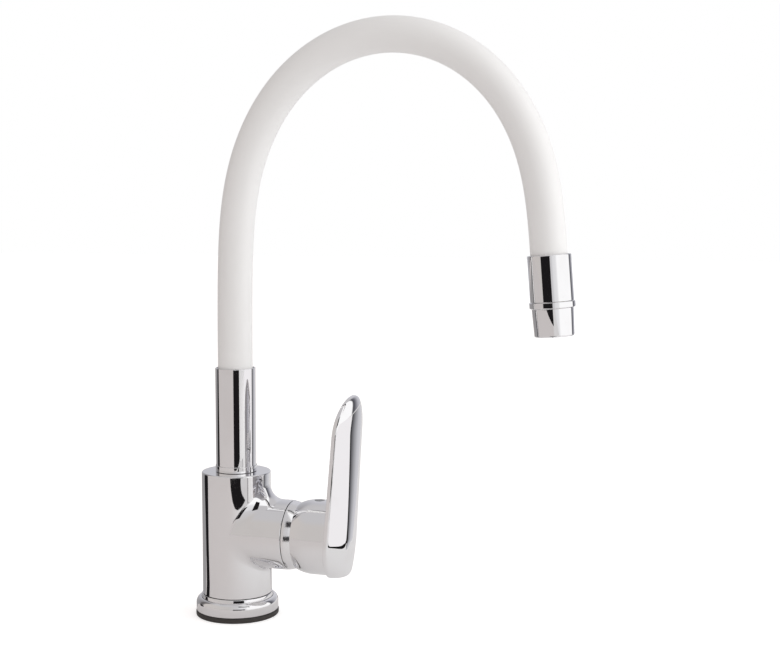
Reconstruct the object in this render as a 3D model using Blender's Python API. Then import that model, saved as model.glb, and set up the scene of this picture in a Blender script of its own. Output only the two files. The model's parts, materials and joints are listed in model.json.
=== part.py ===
"""Flexible-arch kitchen tap, modelled piece by piece.

Metres, +Z up. The origin is on the axis of the upright body, at the deck the
tap is bolted to. The spout and the lever both point along +X at rest, so the
XZ plane is a plane of symmetry.
"""
import math

import bmesh
import bpy
import numpy as np
from mathutils import Matrix, Vector

MM = 0.001

# Fits shared by the whole tap
CLEARANCE = 0.3 * MM          # between neighbouring solids
FACET_CLEARANCE = 0.45 * MM   # between round pieces drawn with few sides
OVERRUN = 2.0 * MM            # how far a cutter runs past what it cuts
MERGE = 0.0005 * MM           # points closer than this are one point
ROUND_STEPS = 32              # sides of a large turned piece
SMALL_STEPS = 16              # sides of a small turned piece
TINY_STEPS = 12               # sides of a seal or screw
HOLE_STEPS = 10               # sides of a drilled hole
HEX_STEPS = 6
SHARP_DEG = 35.0              # edges sharper than this are shaded as edges

# Deck seal and base ring
GASKET_REACH = 0.3 * MM       # how far the gasket shows past the ring
GASKET_WIDTH = 8.7 * MM
GASKET_HEIGHT = 3.2 * MM
GASKET_CHAMFER = 0.5 * MM
RING_REACH = 4.4 * MM         # how far the ring stands out past the body
RING_HEIGHT = 8.9 * MM
RING_ROUND_WIDTH = 3.1 * MM
RING_ROUND_HEIGHT = 4.2 * MM
RING_LIP_WIDTH = 0.7 * MM     # how far the lip stands out past the body
RING_LIP_HEIGHT = 2.2 * MM

# Upright body
BODY_RADIUS = 23.0 * MM
BODY_EDGE = 0.9 * MM
BODY_RIM = 7.9 * MM           # straight wall above the branch's upper fillet
SPIGOT_STEP = 2.5 * MM        # how far the spigot is set in from the body
SPIGOT_WALL = 2.5 * MM        # round the open hollow under the body
BODY_COLUMNS = 16             # columns of faces over each half of the body

# Side branch for the cartridge, as wide as the body
BRANCH_HEIGHT = 56.0 * MM
BRANCH_END = 40.0 * MM
BRANCH_UPPER_FILLET = 10.0 * MM
BRANCH_LOWER_FILLET = 3.0 * MM
BRANCH_FRONT_FILLET = 35.0 * MM  # both fillets are softer towards the body's sides
FILLET_STEPS = 4
CHAMBER_WALL = 5.0 * MM
CHAMBER_FLOOR = 6.0 * MM
NUT_SEAT = 33.5 * MM
NUT_BORE_WALL = 3.2 * MM      # round the threaded mouth of the chamber
ROOF_WALL = 12.0 * MM         # metal between the chamber and the hollow

# Waterways
INLET_RADIUS = 4.7 * MM       # M10 inlet thread, drawn as its outside
INLET_DEPTH = 12.0 * MM
INLET_SETBACK = 3.0 * MM      # behind the body's axis
STUD_RADIUS = 3.9 * MM        # M8 fixing stud thread
STUD_DEPTH = 8.0 * MM
STUD_OFFSET = 9.0 * MM

# Spout swivel
SOCKET_INSET = 1.5 * MM       # the socket is narrower than the neck's bore
SOCKET_DEPTH = 19.9 * MM
ADAPTER_BORE = 2.8 * MM
ADAPTER_GROOVE = 2.0 * MM     # depth of an O-ring groove
ADAPTER_GROOVE_WIDTH = 2.6 * MM
LOWER_GROOVE_RISE = 2.6 * MM  # above the socket's floor
UPPER_GROOVE_RISE = 15.4 * MM
LOCK_GROOVE_RISE = 8.6 * MM
LOCK_GROOVE_WIDTH = 4.4 * MM
LOCK_GROOVE_DEPTH = 1.4 * MM
LOCK_SCREW_RADIUS = 1.7 * MM
O_RING_SECTION = 0.85 * MM
O_RING_SIDES = 6
GLIDE_HEIGHT = 0.8 * MM
GLIDE_REACH = 0.5 * MM        # past the neck's bore
ADAPTER_FLANGE_HEIGHT = 3.2 * MM
ADAPTER_WALL = 1.35 * MM
ADAPTER_STUB = 16.0 * MM
ADAPTER_SOCKET_FLOOR = 4.5 * MM
NIPPLE_STANDS_OUT = 2.0 * MM

# Neck sleeve
NECK_WALL = 1.15 * MM
NECK_LENGTH = 68.0 * MM
NECK_COLLAR_WIDTH = 0.4 * MM
NECK_COLLAR_HEIGHT = 2.8 * MM

# Flexible arch: three layers round one curve, cut into links that turn on
# each other like a ball in a cup
HOSE_RADIUS = 11.9 * MM       # outside of the silicone sleeve
HOSE_WALL = 3.3 * MM
LINER_PLAY = 0.4 * MM         # between one layer and the next
GOOSENECK_WALL = 1.9 * MM
WATER_HOSE_WALL = 1.6 * MM
SLEEVE_SIDES = 16
LINER_SIDES = 8
ARCH_LENGTH = 463.0 * MM      # along the curve, neck top to ferrule top
ARCH_TURN_DEG = 175.5
LINKS = 7
# How sharply the arch bends at the ends of its links, as shares of the
# sharpest bend. Between them the bend changes evenly.
CURL_SHARES = (0.0, 0.08, 0.58, 0.83, 1.0, 0.91, 0.66, 0.0)
CURVE_SAMPLES = 2801
ROW_TURN_DEG = 11.0           # most that one row of faces turns
ROW_LENGTH = 90.0 * MM        # and the longest row
ROW_MARGIN = 4.0 * MM         # no row is closer than this to a link's end
BALL_ROWS = 2
CUP_ROWS = 2
CUP_GAP = 0.45 * MM
CUP_REACH = 1.15              # last plain row before a cup, in cup radii

# Spray head, measured along its own axis from the ferrule's top
FERRULE_WALL = 1.4 * MM
FERRULE_LENGTH = 28.6 * MM
FERRULE_EDGE = 0.6 * MM
SLEEVE_ENTRY = 8.0 * MM       # how far the sleeve goes into the ferrule
SELECTOR_REACH = 0.7 * MM     # how far the ring stands out past the ferrule
SELECTOR_LENGTH = 3.8 * MM
SELECTOR_EDGE = 0.5 * MM
NOZZLE_STEP = 0.6 * MM        # how far the nozzle is set in from the ferrule
NOZZLE_TAPER = 0.6 * MM
NOZZLE_LENGTH = 17.5 * MM
NOZZLE_WALL = 1.4 * MM
NOZZLE_EDGE = 1.0 * MM
HEAD_SPIGOT_INSET = 3.2 * MM  # from the ferrule's bore
HEAD_SPIGOT_LENGTH = 10.0 * MM
DIVERTER_HEIGHT = 2.0 * MM
DIVERTER_HOLE = 1.8 * MM
DIVERTER_HOLES = 4
AERATOR_WALL = 1.3 * MM
AERATOR_FLOOR = 1.2 * MM
AERATOR_RECESS = 1.0 * MM     # how far the aerator sits inside the mouth
SCREEN_HEIGHT = 0.8 * MM
STRAIGHTENER_HEIGHT = 2.0 * MM
STRAIGHTENER_HOLE_SHARE = 3 / 14      # of the straightener's radius
STRAIGHTENER_PITCH_SHARE = 13 / 21
STRAIGHTENER_HOLES = 6                # round the middle one

# A standard cartridge. These sizes shrink and grow with its diameter
STANDARD_CARTRIDGE = 35.0 * MM        # diameter
STANDARD_INLET_SPACING = 15.0 * MM
STANDARD_WATERWAY = 3.2 * MM          # radius, as the next three are
STANDARD_SEAL = 4.4 * MM
STANDARD_ROTOR_NECK = 10.0 * MM
STANDARD_NUT_HOLE = 12.2 * MM
STANDARD_PORT_DROP = 8.0 * MM         # inlets, below the branch's axis
STANDARD_PORT_RISE = 9.0 * MM         # outlet, above it
STANDARD_ROTOR_SLOT = 14.6 * MM       # length
STANDARD_PIN = 18.0 * MM              # length

# Cartridge, along the branch's axis
PIVOT_X = 36.0 * MM           # pin that the lever lifts about
CARTRIDGE_PLAY = 0.5 * MM     # in its chamber
CARTRIDGE_WALL = 1.5 * MM
CARTRIDGE_BASE = 4.0 * MM
DISC_HEIGHT = 3.0 * MM
MOVING_DISC_STEP = 2.7 * MM   # narrower than the fixed disc by this
MOVING_DISC_OFFSET = 2.5 * MM
DISC_POCKET_RADIUS = 6.0 * MM
DISC_POCKET_DEPTH = 1.6 * MM
CARRIER_HEIGHT = 9.8 * MM
CARRIER_POCKET = 7.8 * MM     # width and depth of the pocket for the ball
ROTOR_PLATE = 2.9 * MM
HOUSING_PLATE = 3.0 * MM
ROTOR_NECK_END = 41.0 * MM
ROTOR_SLOT_WIDTH = 7.8 * MM
STEM_SIDE = 7.0 * MM
STEM_END = 64.0 * MM
STEM_ARM = 12.0 * MM          # from the pin to the ball
STEM_ARM_RADIUS = 2.2 * MM
STEM_BALL_RADIUS = 3.0 * MM
STEM_BLOCK_START = 32.5 * MM
PIN_RADIUS = 1.5 * MM
SEAL_WALL = 0.9 * MM
SEAL_HEIGHT = 1.6 * MM
NUT_FLANGE_STEP = 2.0 * MM    # the nut is narrower than the branch by this
NUT_FLANGE_HEIGHT = 2.0 * MM
NUT_NOTCH = 4.0 * MM

# Dome under the lever, part of a ball about the pivot
DOME_REACH = 0.3 * MM         # past the branch
DOME_WALL = 1.0 * MM
DOME_STRAIGHT = 1.4 * MM      # short straight rim on the branch
DOME_OPENING_DEG = 46.0       # half angle of the hole for the lever's boss
DOME_STEPS = 4

# Lever: a round hub with a tongue-shaped blade
HUB_GAP = 0.5 * MM            # between the dome and the hub's hollow
HUB_START = 46.6 * MM
HUB_REACH = 1.3 * MM          # past the dome
HUB_NARROWING = 2.4 * MM      # smaller by this where it starts
HUB_SWELL = 12.0 * MM         # length over which the hub reaches its size
HUB_SWELL_POWER = 2.4
HUB_STEPS = 4
HUB_HOLLOW_STEPS = 3
HUB_INSET = 1.6 * MM          # how deep the hub's end lies in the blade
HUB_OVERLAP = 1.2 * MM        # and how far its wall runs in
HUB_WALL = 5.1 * MM           # round the hollow for the boss
CORE_END = 70.0 * MM
BOSS_RADIUS = 7.4 * MM
SOCKET_END = 66.0 * MM
BLADE_REACH = 0.4 * MM        # past the hub on each side
BLADE_EDGE_X = 73.4 * MM      # outer edge of the blade, level with the hub
BLADE_EDGE_LEAN_DEG = 5.0
BLADE_CROWN = 9.8 * MM        # how far the blade bulges past its edges
BLADE_CROWN_TOP = 6.0 * MM
BLADE_STRAIGHT = 70.0 * MM    # straight sides, above the branch's axis
BLADE_TIP = 25.0 * MM         # rounded end above them
BLADE_FOOT = 26.3 * MM        # rounded end below the branch's axis
BLADE_EDGE_THICKNESS = 3.2 * MM
BLADE_THICKNESS = 5.4 * MM
BLADE_TIP_POWER = 2.0
BLADE_FOOT_POWER = 12.0       # how late the crown falls off towards each end
BLADE_TIP_FALL_POWER = 2.5
BLADE_TIP_FORWARD = 1.6 * MM
BLADE_RING_SHARES = (0.0, 0.35, 0.68, 0.9, 1.0)
BLADE_EDGE_ROUND = 0.6 * MM
BLADE_ARC_STEPS = 16          # over the foot, and again over the tip
BLADE_SIDE_STEPS = 4
INDEX_X = 59.5 * MM
INDEX_RADIUS = 3.1 * MM
INDEX_HEIGHT = 3.6 * MM
GRUB_RADIUS = 2.0 * MM
GRUB_LENGTH = 3.5 * MM
HEX_KEY_RADIUS = 1.1 * MM
HEX_KEY_DEPTH = 1.6 * MM

# Radii worked out from the sizes above
RING_RADIUS = BODY_RADIUS + RING_REACH
GASKET_RADIUS = RING_RADIUS + GASKET_REACH
GASKET_BORE = GASKET_RADIUS - GASKET_WIDTH
SPIGOT_RADIUS = BODY_RADIUS - SPIGOT_STEP
HOLLOW_RADIUS = SPIGOT_RADIUS - SPIGOT_WALL
CHAMBER_RADIUS = BODY_RADIUS - CHAMBER_WALL
NUT_BORE_RADIUS = BODY_RADIUS - NUT_BORE_WALL
NUT_FLANGE_RADIUS = BODY_RADIUS - NUT_FLANGE_STEP
CARTRIDGE_RADIUS = CHAMBER_RADIUS - CARTRIDGE_PLAY
CARTRIDGE_SCALE = 2 * CARTRIDGE_RADIUS / STANDARD_CARTRIDGE
INLET_SPACING = CARTRIDGE_SCALE * STANDARD_INLET_SPACING
INLET_PORT_DROP = CARTRIDGE_SCALE * STANDARD_PORT_DROP
OUTLET_PORT_RISE = CARTRIDGE_SCALE * STANDARD_PORT_RISE
WATERWAY_RADIUS = CARTRIDGE_SCALE * STANDARD_WATERWAY
SEAL_RADIUS = CARTRIDGE_SCALE * STANDARD_SEAL
ROTOR_NECK_RADIUS = CARTRIDGE_SCALE * STANDARD_ROTOR_NECK
ROTOR_SLOT_LENGTH = CARTRIDGE_SCALE * STANDARD_ROTOR_SLOT
PIN_LENGTH = CARTRIDGE_SCALE * STANDARD_PIN
NUT_HOLE_RADIUS = CARTRIDGE_SCALE * STANDARD_NUT_HOLE
DISC_RADIUS = CARTRIDGE_RADIUS - CARTRIDGE_WALL - CLEARANCE
MOVING_DISC_RADIUS = DISC_RADIUS - MOVING_DISC_STEP
DOME_RADIUS = BODY_RADIUS + DOME_REACH
HUB_HOLLOW_RADIUS = DOME_RADIUS + HUB_GAP
HUB_RADIUS = DOME_RADIUS + HUB_REACH
HUB_START_RADIUS = HUB_RADIUS - HUB_NARROWING
CORE_RADIUS = HUB_RADIUS - HUB_WALL
BLADE_HALF_WIDTH = HUB_RADIUS + BLADE_REACH
HOSE_BORE = HOSE_RADIUS - HOSE_WALL
GOOSENECK_RADIUS = HOSE_BORE - LINER_PLAY
WATER_HOSE_RADIUS = GOOSENECK_RADIUS - GOOSENECK_WALL - LINER_PLAY
SLEEVED_RADIUS = HOSE_RADIUS + CLEARANCE      # bore that takes the hose
NECK_RADIUS = SLEEVED_RADIUS + NECK_WALL
GLIDE_RADIUS = SLEEVED_RADIUS + GLIDE_REACH
SOCKET_RADIUS = SLEEVED_RADIUS - SOCKET_INSET
ADAPTER_RADIUS = SOCKET_RADIUS - CLEARANCE
STUB_RADIUS = GOOSENECK_RADIUS + FACET_CLEARANCE + ADAPTER_WALL
NIPPLE_RADIUS = WATER_HOSE_RADIUS - WATER_HOSE_WALL - 2 * CLEARANCE
FERRULE_RADIUS = SLEEVED_RADIUS + FERRULE_WALL
SELECTOR_RADIUS = FERRULE_RADIUS + SELECTOR_REACH
NOZZLE_RADIUS = FERRULE_RADIUS - NOZZLE_STEP
NOZZLE_END_RADIUS = NOZZLE_RADIUS - NOZZLE_TAPER
HEAD_SPIGOT_RADIUS = SLEEVED_RADIUS - HEAD_SPIGOT_INSET
CUP_RADIUS = HOSE_RADIUS + CUP_GAP

# Places worked out from the sizes above
RING_BOTTOM = GASKET_HEIGHT + CLEARANCE
RING_TOP = RING_BOTTOM + RING_HEIGHT
LIP_TOP = RING_TOP + RING_LIP_HEIGHT
BODY_FOOT = LIP_TOP + CLEARANCE
HOLLOW_ROOF = BRANCH_HEIGHT - CHAMBER_RADIUS - ROOF_WALL
BODY_TOP = BRANCH_HEIGHT + BODY_RADIUS + BRANCH_UPPER_FILLET + BODY_RIM
SOCKET_FLOOR = BODY_TOP - SOCKET_DEPTH
LOWER_GROOVE = SOCKET_FLOOR + LOWER_GROOVE_RISE
UPPER_GROOVE = SOCKET_FLOOR + UPPER_GROOVE_RISE
LOCK_GROOVE = SOCKET_FLOOR + LOCK_GROOVE_RISE
GLIDE_BOTTOM = BODY_TOP + CLEARANCE
NECK_FOOT = GLIDE_BOTTOM + GLIDE_HEIGHT + CLEARANCE
NECK_TOP = NECK_FOOT + NECK_LENGTH
STUB_TOP = NECK_FOOT + ADAPTER_FLANGE_HEIGHT + ADAPTER_STUB
LINK_LENGTH = ARCH_LENGTH / LINKS
BASE_START = CHAMBER_FLOOR + CLEARANCE
FIXED_DISC_START = BASE_START + CARTRIDGE_BASE + CLEARANCE
MOVING_DISC_START = FIXED_DISC_START + DISC_HEIGHT + CLEARANCE
CARRIER_START = MOVING_DISC_START + DISC_HEIGHT + CLEARANCE
ROTOR_START = CARRIER_START + CARRIER_HEIGHT + CLEARANCE
HOUSING_PLATE_START = ROTOR_START + ROTOR_PLATE + CLEARANCE
HOUSING_END = HOUSING_PLATE_START + HOUSING_PLATE
NUT_START = HOUSING_END + CLEARANCE
NUT_FLANGE_START = BRANCH_END + CLEARANCE
BLADE_STRAIGHT_TOP = BRANCH_HEIGHT + BLADE_STRAIGHT
BLADE_TOP = BLADE_STRAIGHT_TOP + BLADE_TIP
SELECTOR_START = FERRULE_LENGTH + CLEARANCE
NOZZLE_START = SELECTOR_START + SELECTOR_LENGTH + CLEARANCE
NOZZLE_END = NOZZLE_START + NOZZLE_LENGTH
PIVOT = Vector((PIVOT_X, 0.0, BRANCH_HEIGHT))

# Materials: colour, roughness, metallic
MATERIALS = {
    "chrome": ((0.80, 0.80, 0.82), 0.06, 1.0),
    "white_silicone": ((0.93, 0.92, 0.91), 0.50, 0.0),
    "black_rubber": ((0.05, 0.05, 0.05), 0.60, 0.0),
    "raw_brass": ((0.72, 0.56, 0.30), 0.35, 1.0),
    "spring_steel": ((0.55, 0.55, 0.56), 0.35, 1.0),
    "white_plastic": ((0.88, 0.88, 0.86), 0.40, 0.0),
    "grey_plastic": ((0.45, 0.46, 0.48), 0.45, 0.0),
    "ceramic": ((0.90, 0.88, 0.84), 0.20, 0.0),
    "clear_hose": ((0.80, 0.84, 0.86), 0.35, 0.0),
}


def clear_scene():
    for obj in list(bpy.data.objects):
        bpy.data.objects.remove(obj)


def material(name):
    found = bpy.data.materials.get(name)
    if found:
        return found
    colour, roughness, metallic = MATERIALS[name]
    made = bpy.data.materials.new(name)
    made.use_nodes = True
    shader = made.node_tree.nodes["Principled BSDF"]
    shader.inputs["Base Color"].default_value = (*colour, 1.0)
    shader.inputs["Roughness"].default_value = roughness
    shader.inputs["Metallic"].default_value = metallic
    return made


def joint_empty(name, place):
    """An empty on a joint's axis, which carries the pieces that move there."""
    empty = bpy.data.objects.new(name, None)
    empty.location = place
    bpy.context.collection.objects.link(empty)
    return empty


def add_piece(name, bm, finish, carrier=None, frame=None):
    """Make the object, place it by its frame and hang it on its carrier."""
    mesh = bpy.data.meshes.new(name)
    bmesh.ops.remove_doubles(bm, verts=bm.verts, dist=MERGE)
    bmesh.ops.recalc_face_normals(bm, faces=bm.faces)
    bm.to_mesh(mesh)
    bm.free()
    mesh.shade_smooth()
    mesh.set_sharp_from_angle(angle=math.radians(SHARP_DEG))
    mesh.materials.append(material(finish))
    obj = bpy.data.objects.new(name, mesh)
    bpy.context.collection.objects.link(obj)
    place = frame or Matrix.Identity(4)
    if carrier:
        obj.parent = carrier
        obj.matrix_parent_inverse = Matrix.Translation(-carrier.location)
    obj.matrix_basis = place
    return obj


def axis_frame(place, direction):
    """A frame at a place, whose Z axis runs along the direction."""
    turn = Vector(direction).to_track_quat("Z", "Y").to_matrix().to_4x4()
    return Matrix.Translation(place) @ turn


def branch_frame(x=0.0):
    """Local Z runs out along the branch, from the given X."""
    return axis_frame((x, 0.0, BRANCH_HEIGHT), (1.0, 0.0, 0.0))


def turned(outline, steps):
    """Spin a closed outline of (radius, height) points about Z."""
    bm = bmesh.new()
    points = [bm.verts.new((radius, 0.0, height)) for radius, height in outline]
    loop = zip(points, points[1:] + points[:1])
    edges = [bm.edges.new(pair) for pair in loop]
    bmesh.ops.spin(bm, geom=points + edges, cent=(0, 0, 0), axis=(0, 0, 1),
                   angle=math.tau, steps=steps, use_merge=True)
    bmesh.ops.remove_doubles(bm, verts=bm.verts, dist=MERGE)
    wires = [edge for edge in bm.edges if not edge.link_faces]
    bmesh.ops.delete(bm, geom=wires, context="EDGES")
    return bm


def ring_outline(inner, outer, low, high):
    return [(inner, low), (outer, low), (outer, high), (inner, high)]


def disc_outline(outer, low, high):
    return [(0.0, low), (outer, low), (outer, high), (0.0, high)]


def arc_points(centre, radii, start_deg, end_deg, steps):
    """Points on an ellipse arc, as (radius, height) pairs."""
    angles = np.radians(np.linspace(start_deg, end_deg, steps + 1))
    return [(centre[0] + radii[0] * math.cos(a),
             centre[1] + radii[1] * math.sin(a)) for a in angles]


def grid_faces(bm, rows, closed):
    """Faces between rows of points; a closed row joins its end to its start."""
    made = [[bm.verts.new(point) for point in row] for row in rows]
    for lower, upper in zip(made, made[1:]):
        count = len(lower)
        for i in range(count if closed else count - 1):
            j = (i + 1) % count
            bm.faces.new((lower[i], lower[j], upper[j], upper[i]))
    return made


def cylinder_cutter(name, radius, length, frame, steps=HOLE_STEPS):
    """A cylinder from its frame's origin along the frame's Z.

    Its corners are turned by half a side, off the planes of symmetry.
    """
    bm = turned(disc_outline(radius, 0.0, length), steps)
    half_side = Matrix.Rotation(math.pi / steps, 3, "Z")
    bmesh.ops.rotate(bm, verts=bm.verts, matrix=half_side)
    return as_cutter(name, bm, frame)


def box_cutter(name, low, high):
    bm = bmesh.new()
    size = Vector(high) - Vector(low)
    middle = (Vector(high) + Vector(low)) / 2
    place = Matrix.Translation(middle) @ Matrix.Diagonal((*size, 1.0))
    bmesh.ops.create_cube(bm, size=1.0, matrix=place)
    return as_cutter(name, bm, Matrix.Identity(4))


def as_cutter(name, bm, frame):
    mesh = bpy.data.meshes.new(name)
    bmesh.ops.remove_doubles(bm, verts=bm.verts, dist=MERGE)
    bmesh.ops.recalc_face_normals(bm, faces=bm.faces)
    bm.to_mesh(mesh)
    bm.free()
    cutter = bpy.data.objects.new(name, mesh)
    cutter.matrix_basis = frame
    cutter.hide_render = True
    cutter.display_type = "WIRE"
    bpy.context.collection.objects.link(cutter)
    return cutter


def boolean(obj, cutter, operation="DIFFERENCE"):
    step = obj.modifiers.new(cutter.name, "BOOLEAN")
    step.operation = operation
    step.solver = "EXACT"
    step.object = cutter


def make_gasket():
    outline = [
        (GASKET_BORE, 0.0), (GASKET_RADIUS - GASKET_CHAMFER, 0.0),
        (GASKET_RADIUS, GASKET_CHAMFER), (GASKET_RADIUS, GASKET_HEIGHT - GASKET_CHAMFER),
        (GASKET_RADIUS - GASKET_CHAMFER, GASKET_HEIGHT), (GASKET_BORE, GASKET_HEIGHT),
    ]
    add_piece("base_gasket", turned(outline, ROUND_STEPS), "black_rubber")


def make_base_ring():
    bore = SPIGOT_RADIUS + CLEARANCE
    lip = BODY_RADIUS + RING_LIP_WIDTH
    centre = (RING_RADIUS - RING_ROUND_WIDTH, RING_TOP - RING_ROUND_HEIGHT)
    shoulder = arc_points(centre, (RING_ROUND_WIDTH, RING_ROUND_HEIGHT), 0.0, 90.0, FILLET_STEPS)
    outline = [(bore, RING_BOTTOM), (RING_RADIUS, RING_BOTTOM)] + shoulder
    outline += [(lip, RING_TOP), (lip, LIP_TOP), (bore, LIP_TOP)]
    add_piece("base_ring", turned(outline, ROUND_STEPS), "chrome")


def body_circle(radius, height, angle):
    return Vector((radius * math.sin(angle), radius * math.cos(angle), height))


def branch_circle(radius, x, angle):
    """A point on a circle round the branch's axis; its lower half is first."""
    return Vector((x, radius * math.cos(angle), BRANCH_HEIGHT - radius * math.sin(angle)))


def branch_fillet(angle, side):
    """Points of the fillet from the body to the branch, in a plane of equal Y.

    side is -1 below the branch and +1 above it. The fillet is widest in the
    plane of symmetry and dies out where the two cylinders are tangent.
    """
    reach = math.sin(angle)
    radius = BRANCH_UPPER_FILLET if side > 0 else BRANCH_LOWER_FILLET
    radius += (BRANCH_FRONT_FILLET - radius) * (1 - reach) ** 2
    y = BODY_RADIUS * math.cos(angle)
    points = []
    for step in range(FILLET_STEPS + 1):
        a = math.pi / 2 * step / FILLET_STEPS
        x = reach * (BODY_RADIUS + radius * (1 - math.cos(a)))
        rise = reach * (BODY_RADIUS + radius * (1 - math.sin(a)))
        points.append(Vector((x, y, BRANCH_HEIGHT + side * rise)))
    return points


def make_mixer_body():
    """The body as columns of faces: up the wall, out round the branch, and in.

    A column is a path in a plane of equal Y. In front it runs out along the
    branch's lower side and back along its upper side; behind it goes straight
    up. The chamber, the socket and the hollow beneath are part of the paths.
    """
    bm = bmesh.new()
    front = [math.pi * i / BODY_COLUMNS for i in range(BODY_COLUMNS + 1)]
    back = [math.pi + math.pi * i / BODY_COLUMNS for i in range(BODY_COLUMNS + 1)]

    def foot(angle):
        return [Vector((0.0, 0.0, HOLLOW_ROOF)),
                body_circle(HOLLOW_RADIUS, HOLLOW_ROOF, angle),
                body_circle(HOLLOW_RADIUS, RING_BOTTOM, angle),
                body_circle(SPIGOT_RADIUS, RING_BOTTOM, angle),
                body_circle(SPIGOT_RADIUS, BODY_FOOT, angle),
                body_circle(BODY_RADIUS, BODY_FOOT, angle)]

    def head(angle):
        rim = BODY_RADIUS - BODY_EDGE
        return [body_circle(BODY_RADIUS, BODY_TOP - BODY_EDGE, angle),
                body_circle(rim + BODY_EDGE * math.sin(math.pi / 4),
                            BODY_TOP - BODY_EDGE * (1 - math.sin(math.pi / 4)), angle),
                body_circle(rim, BODY_TOP, angle),
                body_circle(SOCKET_RADIUS, BODY_TOP, angle),
                body_circle(SOCKET_RADIUS, SOCKET_FLOOR, angle),
                Vector((0.0, 0.0, SOCKET_FLOOR))]

    def lower(angle):
        return foot(angle) + branch_fillet(angle, -1) + [branch_circle(BODY_RADIUS, BRANCH_END, angle)]

    def upper(angle):
        out = branch_circle(BODY_RADIUS, BRANCH_END, -angle)
        return [out] + branch_fillet(angle, 1)[::-1] + head(angle)

    def behind(angle):
        waist = body_circle(BODY_RADIUS, BRANCH_HEIGHT, angle)
        return foot(angle) + [waist] + head(angle)

    grid_faces(bm, [lower(a) for a in front], closed=False)
    grid_faces(bm, [upper(a) for a in front], closed=False)
    grid_faces(bm, [behind(a) for a in back], closed=False)

    steps = 2 * BODY_COLUMNS
    turn = [math.tau * i / steps for i in range(steps)]
    chamber = [(BODY_RADIUS, BRANCH_END), (NUT_BORE_RADIUS, BRANCH_END),
               (NUT_BORE_RADIUS, NUT_SEAT), (CHAMBER_RADIUS, NUT_SEAT),
               (CHAMBER_RADIUS, CHAMBER_FLOOR), (0.0, CHAMBER_FLOOR)]
    rows = [[branch_circle(radius, x, a) for a in turn] for radius, x in chamber]
    grid_faces(bm, rows, closed=True)
    body = add_piece("mixer_body", bm, "chrome")

    up = (0.0, 0.0, 1.0)
    out = (1.0, 0.0, 0.0)
    inlet_port = BRANCH_HEIGHT - INLET_PORT_DROP
    outlet_port = BRANCH_HEIGHT + OUTLET_PORT_RISE
    for side, name in ((1, "hot"), (-1, "cold")):
        y = side * INLET_SPACING / 2
        rise = inlet_port + WATERWAY_RADIUS / 2 - HOLLOW_ROOF
        outline = [(0.0, -OVERRUN), (INLET_RADIUS, -OVERRUN), (INLET_RADIUS, INLET_DEPTH),
                   (WATERWAY_RADIUS, INLET_DEPTH), (WATERWAY_RADIUS, rise), (0.0, rise)]
        start = axis_frame((-INLET_SETBACK, y, HOLLOW_ROOF), up)
        boolean(body, as_cutter(name + "_inlet_cut", turned(outline, TINY_STEPS), start))
        port = axis_frame((-INLET_SETBACK, y, inlet_port), out)
        length = CHAMBER_FLOOR + INLET_SETBACK + OVERRUN
        boolean(body, cylinder_cutter(name + "_port_cut", WATERWAY_RADIUS, length, port))
    port = axis_frame((0.0, 0.0, outlet_port), out)
    length = CHAMBER_FLOOR + OVERRUN
    boolean(body, cylinder_cutter("outlet_port_cut", WATERWAY_RADIUS, length, port))
    riser = axis_frame((0.0, 0.0, outlet_port - WATERWAY_RADIUS / 2), up)
    length = SOCKET_FLOOR - outlet_port + WATERWAY_RADIUS / 2 + OVERRUN
    boolean(body, cylinder_cutter("outlet_riser_cut", WATERWAY_RADIUS, length, riser))
    stud = axis_frame((STUD_OFFSET, 0.0, HOLLOW_ROOF - OVERRUN), up)
    boolean(body, cylinder_cutter("stud_cut", STUD_RADIUS, STUD_DEPTH + OVERRUN, stud))
    screw = axis_frame((-BODY_RADIUS - OVERRUN, 0.0, lock_screw_height()), out)
    length = BODY_RADIUS + OVERRUN - SOCKET_RADIUS + OVERRUN
    boolean(body, cylinder_cutter("lock_screw_cut", LOCK_SCREW_RADIUS + CLEARANCE, length, screw))


def lock_screw_height():
    return LOCK_GROOVE + LOCK_GROOVE_WIDTH / 2


def make_screw(name, radius, length, frame, finish, carrier=None):
    """A grub screw: its key end is at the frame's origin, its tip is pointed."""
    tip = radius / 2
    outline = [(0.0, 0.0), (radius - tip / 2, 0.0), (radius, tip / 2),
               (radius, length - tip), (tip, length), (0.0, length)]
    screw = add_piece(name, turned(outline, TINY_STEPS), finish, carrier, frame)
    key = cylinder_cutter(name + "_key_cut", HEX_KEY_RADIUS, HEX_KEY_DEPTH + OVERRUN,
                          frame @ Matrix.Translation((0.0, 0.0, -OVERRUN)), HEX_STEPS)
    boolean(screw, key)


def make_lock_screw():
    tip = ADAPTER_RADIUS - LOCK_GROOVE_DEPTH + CLEARANCE
    start = -(BODY_RADIUS - CLEARANCE)
    frame = axis_frame((start, 0.0, lock_screw_height()), (1.0, 0.0, 0.0))
    make_screw("spout_lock_screw", LOCK_SCREW_RADIUS, -start - tip, frame, "spring_steel")


def port_places():
    """Each port's name and its place across the branch: (y, z)."""
    low = BRANCH_HEIGHT - INLET_PORT_DROP
    high = BRANCH_HEIGHT + OUTLET_PORT_RISE
    half = INLET_SPACING / 2
    return (("hot", half, low), ("cold", -half, low), ("outlet", 0.0, high))


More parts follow.
